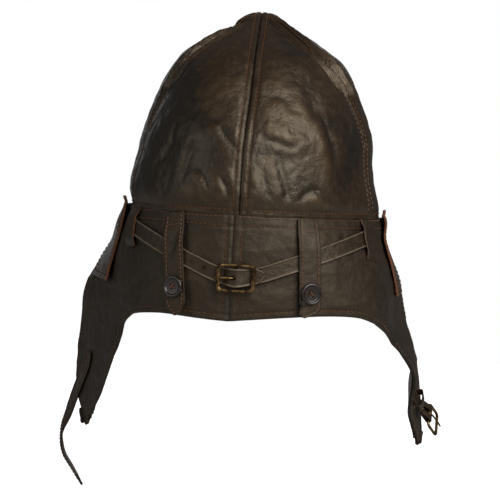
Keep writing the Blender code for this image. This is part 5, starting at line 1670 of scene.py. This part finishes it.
class HELMET_OT_rear_buckle(bpy.types.Operator):
    """The brass centre-bar buckle at the nape and its prong"""

    bl_idname = "helmet.rear_buckle"
    bl_label = "Rear buckle"

    def execute(self, context):
        place = buckle_place()
        level = CENTRE_BAR_STANDOFF + CENTRE_BAR_RECESS
        far = REAR_FRAME_WIDTH / 2 - BAR_RADIUS
        path = frame_path(REAR_FRAME_HEIGHT, REAR_FRAME_WIDTH, FRAME_CORNER, -far, 0.35 * MM)
        radii = [BAR_RADIUS * lerp(0.9, 1.45, smooth((abs(x) - 9 * MM) / (2 * MM))) for x, y, z in path]
        ring = bar("frame", [(x, y, z + level) for x, y, z in path], radii, closed=True, resolution=4)
        end = REAR_FRAME_HEIGHT / 2 - BAR_RADIUS
        bend = end - CENTRE_BAR_RECESS
        low = CENTRE_BAR_STANDOFF
        line = [(0, end, level), (0, bend, low), (0, 0, low), (0, -bend, low), (0, -end, level)]
        middle = bar("middle", line, CENTRE_BAR_RADIUS, resolution=3)
        join(ring, middle)
        ring.data.transform(place)
        finish(ring, "buckle_frame", brass(), slot="brass", replaced="rear_buckle_frame")
        rest = CENTRE_BAR_RECESS + BAR_RADIUS + CLEARANCE + PRONG_RADIUS
        eye = CENTRE_BAR_RADIUS + CLEARANCE + PRONG_EYE_WALL / 2
        finger = (
            (-eye * math.sin(PRONG_ROOT), 0, eye * math.cos(PRONG_ROOT)),
            (-PRONG_HOLE_PLACE, 0, lerp(eye, rest, 0.7)),
            (-PRONG_HOLE_PLACE * 2, 0, rest),
            (-far, 0, rest),
            (-far - PRONG_OVERHANG, 0, rest - PRONG_RADIUS / 2),
        )
        bar_place = place @ Matrix.Translation((0, 0, CENTRE_BAR_STANDOFF))
        prong("buckle_prong", CENTRE_BAR_RADIUS, finger, bar_place, "rear_buckle_prong")
        for label, _ in SIDES:
            for part in ("post", "socket"):
                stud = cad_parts["tab_stud_%s_%s" % (part, label)]
                stud.material_slots[0].material = brass()
        return {"FINISHED"}


# Chin strap and its buckle


def flap_point(side, run, depth):
    return skirt_point(side, run, FOLD_DEPTH + depth, soft=False)


def flap_out(side):
    return outward(lambda u, v: skirt_point(side, u, v, soft=False), CHAPE_RUN, FOLD_DEPTH + CHAPE_DEPTH)


def edge_on(tangent, out, left_over):
    """Across the chin strap: along the flap at its root, turned with its edge to the back as it falls."""
    across = unit(np.cross(tangent, out))
    back = np.array((0, 1, 0)) - tangent * tangent[..., 1:2]
    back = back * np.sign(np.sum(back * across, -1, keepdims=True))
    turned_by = np.asarray(0.75 * smooth((75 * MM - left_over) / (40 * MM)))
    return unit(lerp(across, back, turned_by[..., None]))


class HELMET_OT_chin_strap(bpy.types.Operator):
    """The chin strap that hangs from the left flap"""

    bl_idname = "helmet.chin_strap"
    bl_label = "Chin strap"

    def execute(self, context):
        out = flap_out(LEFT)
        lift = out * (CLEARANCE + CHIN_STRAP_LEATHER / 2)
        root = flap_point(LEFT, CHIN_ROOT_RUN, CHIN_ROOT_DEPTH) + lift
        edge = flap_point(LEFT, CHIN_EDGE_RUN, CHIN_EDGE_DEPTH) + lift
        onward = unit(edge - root)
        bend = edge + onward * CHIN_ROOT_OVERHANG
        free = [bend + onward * 0.4 * MM] + [edge + np.array(fall) * MM for fall in CHIN_STRAP_FALL]
        total = sum(np.linalg.norm(b - a) for a, b in zip(free, free[1:]))
        root = root + CHIN_ROOT_SHIFT - onward * 4 * MM
        path = [lerp(root, bend, share) for share in np.linspace(0, 1, 36)[:-1]]
        path += list(spline(free, np.linspace(0, 1, 110)))
        run, path = resample(path, 0.75 * MM)
        left_over = run[-1] - run
        point = np.minimum(np.clip(left_over / CHIN_STRAP_POINT, 0, 1), np.clip(run / (9 * MM), 0, 1))
        widths = CHIN_STRAP_WIDTH * lerp(TAIL_POINT, 1, np.sin(np.pi / 2 * point))
        across = edge_on(unit(np.gradient(path, axis=0)), out, left_over)
        grid = path_grid(path, across, widths, CHIN_STRAP_LEATHER / 2, 14, out, 0.1, low_edges)
        piece = hide("chin", grid, CHIN_STRAP_LEATHER, strap_leather())
        for index in range(CHIN_HOLES):
            t = 1 - (CHIN_HOLE_START + CHIN_HOLE_SPACING * index) / total
            centre, tangent = spline(free, t), unit(spline(free, t + STEP) - spline(free, t - STEP))
            normal = np.cross(edge_on(tangent, out, (1 - t) * total), tangent)
            drill(piece, HOLE_RADIUS, 3 * MM, axes_at(centre, tangent, normal))
        lines = [grid.line(edge_name, 2.6 * MM, 5 * MM) for edge_name in ("left", "right")]
        lines += [grid.line("low", 9 * MM, 2.6 * MM), grid.line("low", 20 * MM, 2.6 * MM)]
        join(piece, stitches(*lines, pitch=2.9 * MM))
        finish(piece, "chin_strap_leather", body=None, slot="strap_leather")
        near, past = bend - onward * 4 * MM, bend + onward * 4 * MM
        tuple(near)
        tuple(past)
        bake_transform(piece)
        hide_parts("chin_strap_root", "chin_strap")
        return {"FINISHED"}


def chape_place():
    """The chin chape's own axes on the right flap: X along it, Y across, Z out."""
    out = flap_out(RIGHT)
    origin = flap_point(RIGHT, CHAPE_RUN, CHAPE_DEPTH)
    front = unit(flap_point(RIGHT, CHAPE_RUN + STEP, CHAPE_DEPTH) - origin)
    down = unit(flap_point(RIGHT, CHAPE_RUN, CHAPE_DEPTH + MM) - origin)
    return axes_at(origin, front * math.cos(CHAPE_SLANT) + down * math.sin(CHAPE_SLANT), out)


def heel_place():
    """The chin buckle's axes at its heel bar, tilted out from the flap."""
    wrap = BAR_RADIUS + CLEARANCE + CHAPE_LEATHER / 2
    low = CLEARANCE + CHAPE_LEATHER / 2 + CHAPE_RISE
    heel = Matrix.Translation((CHAPE_LENGTH, 0, low + wrap))
    return chape_place() @ heel @ Matrix.Rotation(-CHIN_FRAME_TILT, 4, "Y"), wrap


CHAPE_LINE, KEEPER_LINE = 0.6 * MM, 70


def chape(place, heel, wrap):
    """The leather that rises from the flap, folds round the heel bar and returns under itself."""
    foot = CLEARANCE + CHAPE_LEATHER / 2
    profile = []
    for share in np.linspace(0, 1, 31)[:-1]:
        rise = foot + CHAPE_RISE * share**CHAPE_RISE_CURVE
        profile.append(place @ Vector((CHAPE_LENGTH * share, 0, rise)))
    for angle in np.radians(np.linspace(-90, 90, 21)):
        profile.append(heel @ Vector((wrap * math.cos(angle), 0, wrap * math.sin(angle))))
    back_share = 1 - CHIN_CHAPE_RETURN / CHAPE_LENGTH
    back = foot + CHAPE_RISE * back_share**CHAPE_RISE_CURVE + CHAPE_LEATHER + CLEARANCE
    profile.append(heel @ Vector((-CHIN_CHAPE_RETURN / 2, 0, wrap * 0.6)))
    profile.append(place @ Vector((CHAPE_LENGTH * back_share, 0, back)))
    _, centres = resample([tuple(point) for point in profile], CHAPE_LINE)
    across = np.tile(direction(place, (0, 1, 0)), (len(centres), 1))
    out = direction(place, (0, 0, 1))
    widths = [CHAPE_WIDTH] * len(centres)
    grid = path_grid(centres, across, widths, CHAPE_LEATHER / 2, 14, out, 0.1, low_edges)
    reach = [(place.inverted() @ Vector(point)).x for point in centres]
    fold = CHAPE_LENGTH - CHIN_CHAPE_RETURN
    slot(grid, next(index for index, x in enumerate(reach) if x > fold))
    piece = hide("chape", grid, CHAPE_LEATHER, strap_leather())
    join(piece, stitches(*[grid.line(edge, 2.2 * MM, 2 * MM) for edge in ("left", "right")]))
    finish(piece, "chape", body="ear_flap_right_body", slot="strap_leather", replaced="chin_chape")


def keeper(place):
    """The loop over the chape that holds the strap's end."""
    foot = CLEARANCE + CHAPE_LEATHER / 2
    half = CHAPE_WIDTH / 2 + CLEARANCE + CHAPE_LEATHER
    outline = [(half + KEEPER_FOOT, foot), (half, foot * 2)]
    outline += [(half, KEEPER_HEIGHT * 0.8), (half * 0.7, KEEPER_HEIGHT)]
    outline = [(-y, z) for y, z in outline] + [(0, KEEPER_HEIGHT * 1.05)] + outline[::-1]
    outline = spline(outline, np.linspace(0, 1, KEEPER_LINE))
    centres = [tuple(place @ Vector((KEEPER_PLACE, y, z))) for y, z in outline]
    along = np.tile(direction(place, (1, 0, 0)), (len(centres), 1))
    widths = [KEEPER_WIDTH] * len(centres)
    out = direction(place, (0, 0, 1))
    grid = path_grid(centres, along, widths, CHAPE_LEATHER / 2, 10, out, 0.5, low_edges)
    piece = hide("keeper", grid, CHAPE_LEATHER, strap_leather())
    finish(piece, "keeper", body="ear_flap_right_body", slot="strap_leather", replaced="chin_keeper")


def chin_frame(heel):
    """The frame and the prong that turn on the heel bar."""
    path = frame_path(CHIN_FRAME_WIDTH, CHIN_FRAME_LENGTH, FRAME_CORNER)
    ring = bar("frame", path, BAR_RADIUS, closed=True, resolution=4)
    ring.data.transform(heel)
    node = "chin_buckle_frame"
    finish(ring, "chin_frame", brass(), body=node + "_body", slot="brass", replaced=node)
    far = CHIN_FRAME_LENGTH - 2 * BAR_RADIUS
    rest = BAR_RADIUS + CLEARANCE + PRONG_RADIUS
    eye = BAR_RADIUS + CLEARANCE + PRONG_EYE_WALL / 2
    finger = (
        (eye * math.sin(PRONG_ROOT), 0, eye * math.cos(PRONG_ROOT)),
        (far * 0.3, 0, rest),
        (far, 0, rest),
        (far + PRONG_OVERHANG, 0, rest - PRONG_RADIUS / 2),
    )
    prong("chin_prong", BAR_RADIUS, finger, heel, "chin_buckle_prong")


class HELMET_OT_chin_buckle(bpy.types.Operator):
    """The chape, keeper, frame and prong on the right flap"""

    bl_idname = "helmet.chin_buckle"
    bl_label = "Chin buckle"

    def execute(self, context):
        place = chape_place()
        heel, wrap = heel_place()
        chape(place, heel, wrap)
        keeper(place)
        chin_frame(heel)
        return {"FINISHED"}


# Stage


LAMP_AIM = (0, 0, -0.03)
# Name, place, size and share of the key light's power
LAMPS = (
    ("key", (-0.86, 1.27, 1.05), 1.5, 1.15),
    ("fill", (1.5, 0.9, 0.5), 1.0, 0.14),
    ("front", (0.2, -1.75, 0.12), 1.2, 0.12),
)


def lay_floor(looks):
    """A pale floor, white to the camera where no shadow falls."""
    start()
    bpy.ops.mesh.primitive_plane_add(size=FLOOR_WIDTH, location=(0, 0, FLOOR_Z))
    floor = bpy.context.object
    floor.name = floor.data.name = "floor"
    bpy.ops.object.transform_apply(location=True)
    made, tree, shader = blank("matt painted floor")
    place = add(tree, "TexCoord")
    roll = add(tree, "TexNoise", {"Scale": 40.0, "Detail": 2.0}, {"Vector": (place, "Object")})
    tones = {"A": rgba(looks.floor), "B": dimmed(looks.floor, 0.985)}
    tone = add(tree, "Mix", tones, {"Factor": (roll, "Fac")}, **COLOURS)
    ray = add(tree, "LightPath")
    links = {"Factor": (ray, "Is Camera Ray"), "B": (tone, "Result")}
    seen = add(tree, "Mix", {"A": dimmed(looks.floor, 0.6)}, links, **COLOURS)
    glow = add(tree, "MapRange", {"To Max": 0.85}, {"Value": (ray, "Is Camera Ray")})
    links = {"Base Color": (seen, "Result"), "Emission Strength": (glow, "Result")}
    feed(tree, shader, {"Roughness": 0.9, "Emission Color": (1, 1, 1, 1)}, links)
    floor.data.materials.append(made)


def light(looks):
    """A dim white room that the camera sees as white, and three soft lamps."""
    world = bpy.data.worlds.new("studio")
    bpy.context.scene.world = world
    world.use_nodes = True
    tree = world.node_tree
    ray = add(tree, "LightPath")
    rays = {0: (ray, "Is Camera Ray"), 1: (ray, "Is Transmission Ray")}
    sharp = add(tree, "Math", None, rays, operation="MAXIMUM")
    level = add(tree, "MapRange", {"To Min": 0.09, "To Max": 1.0}, {"Value": (sharp, "Value")})
    feed(tree, tree.nodes["Background"], {"Color": (1, 1, 1, 1)}, {"Strength": (level, "Result")})
    for name, spot, size, power in LAMPS:
        lamp = bpy.data.lights.new(name, "AREA")
        lamp.shape, lamp.size, lamp.energy = "SQUARE", size, looks.key * power
        holder = bpy.data.objects.new(name, lamp)
        holder.location = spot
        aim = Vector(LAMP_AIM) - Vector(spot)
        holder.rotation_euler = aim.to_track_quat("-Z", "Y").to_euler()
        bpy.context.collection.objects.link(holder)


def aim_camera(looks):
    """The photograph's view: from behind, a little from above, and turned by a few degrees."""
    turn, tilt, roll = CAMERA_TURN, CAMERA_TILT, CAMERA_ROLL
    right = Vector((math.cos(turn), math.sin(turn), 0))
    up = Vector((-math.sin(turn) * math.sin(tilt), math.cos(turn) * math.sin(tilt), math.cos(tilt)))
    back = Vector((math.sin(turn) * math.cos(tilt), -math.cos(turn) * math.cos(tilt), math.sin(tilt)))
    x = right * math.cos(roll) + up * math.sin(roll)
    y = up * math.cos(roll) - right * math.sin(roll)
    matrix = Matrix((x, y, back)).transposed().to_4x4()
    matrix.translation = Vector(CAMERA_AIM) * MM + back * CAMERA_AWAY
    camera = bpy.data.objects.new("camera", bpy.data.cameras.new("camera"))
    bpy.context.collection.objects.link(camera)
    camera.matrix_world = matrix
    camera.data.lens, camera.data.sensor_width = looks.lens, 36
    bpy.context.scene.camera = camera


class HELMET_OT_stage(bpy.types.Operator):
    """Floor, lights and camera"""

    bl_idname = "helmet.stage"
    bl_label = "Stage"

    def execute(self, context):
        looks = context.scene.helmet_stage
        lay_floor(looks)
        light(looks)
        aim_camera(looks)
        context.scene.view_settings.view_transform = "Standard"
        return {"FINISHED"}


class HELMET_PT_panel(bpy.types.Panel):
    """Sizes, colours and pieces"""

    bl_label = "Flying helmet"
    bl_idname = "HELMET_PT_panel"
    bl_space_type = "VIEW_3D"
    bl_region_type = "UI"
    bl_category = "Helmet"

    def draw(self, context):
        for group in GROUPS:
            looks = getattr(context.scene, group)
            for key in type(looks).__annotations__:
                self.layout.prop(looks, key)
        for operator in OPERATORS:
            self.layout.operator(operator.bl_idname)


GROUPS = {
    "helmet_leather": HelmetLeather,
    "helmet_thread": HelmetThread,
    "helmet_metal": HelmetMetal,
    "helmet_stage": HelmetStage,
}
OPERATORS = (
    HELMET_OT_stage,
    HELMET_OT_crown,
    HELMET_OT_linings,
    HELMET_OT_skirt,
    HELMET_OT_brow_band,
    HELMET_OT_ear_covers,
    HELMET_OT_strap_loops,
    HELMET_OT_rear_strap,
    HELMET_OT_rear_buckle,
    HELMET_OT_tabs,
    HELMET_OT_buttons,
    HELMET_OT_chin_strap,
    HELMET_OT_chin_buckle,
)


def register():
    for made in (*GROUPS.values(), *OPERATORS, HELMET_PT_panel):
        bpy.utils.register_class(made)
    for name, group in GROUPS.items():
        setattr(bpy.types.Scene, name, bpy.props.PointerProperty(type=group))


def unregister():
    for name in GROUPS:
        delattr(bpy.types.Scene, name)
    for made in (HELMET_PT_panel, *reversed(OPERATORS), *GROUPS.values()):
        bpy.utils.unregister_class(made)


def main():
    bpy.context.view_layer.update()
    register()
    for operator in OPERATORS:
        group, name = operator.bl_idname.split(".")
        getattr(getattr(bpy.ops, group), name)()
    remove(template_stitch())


if __name__ == "__main__":
    main()
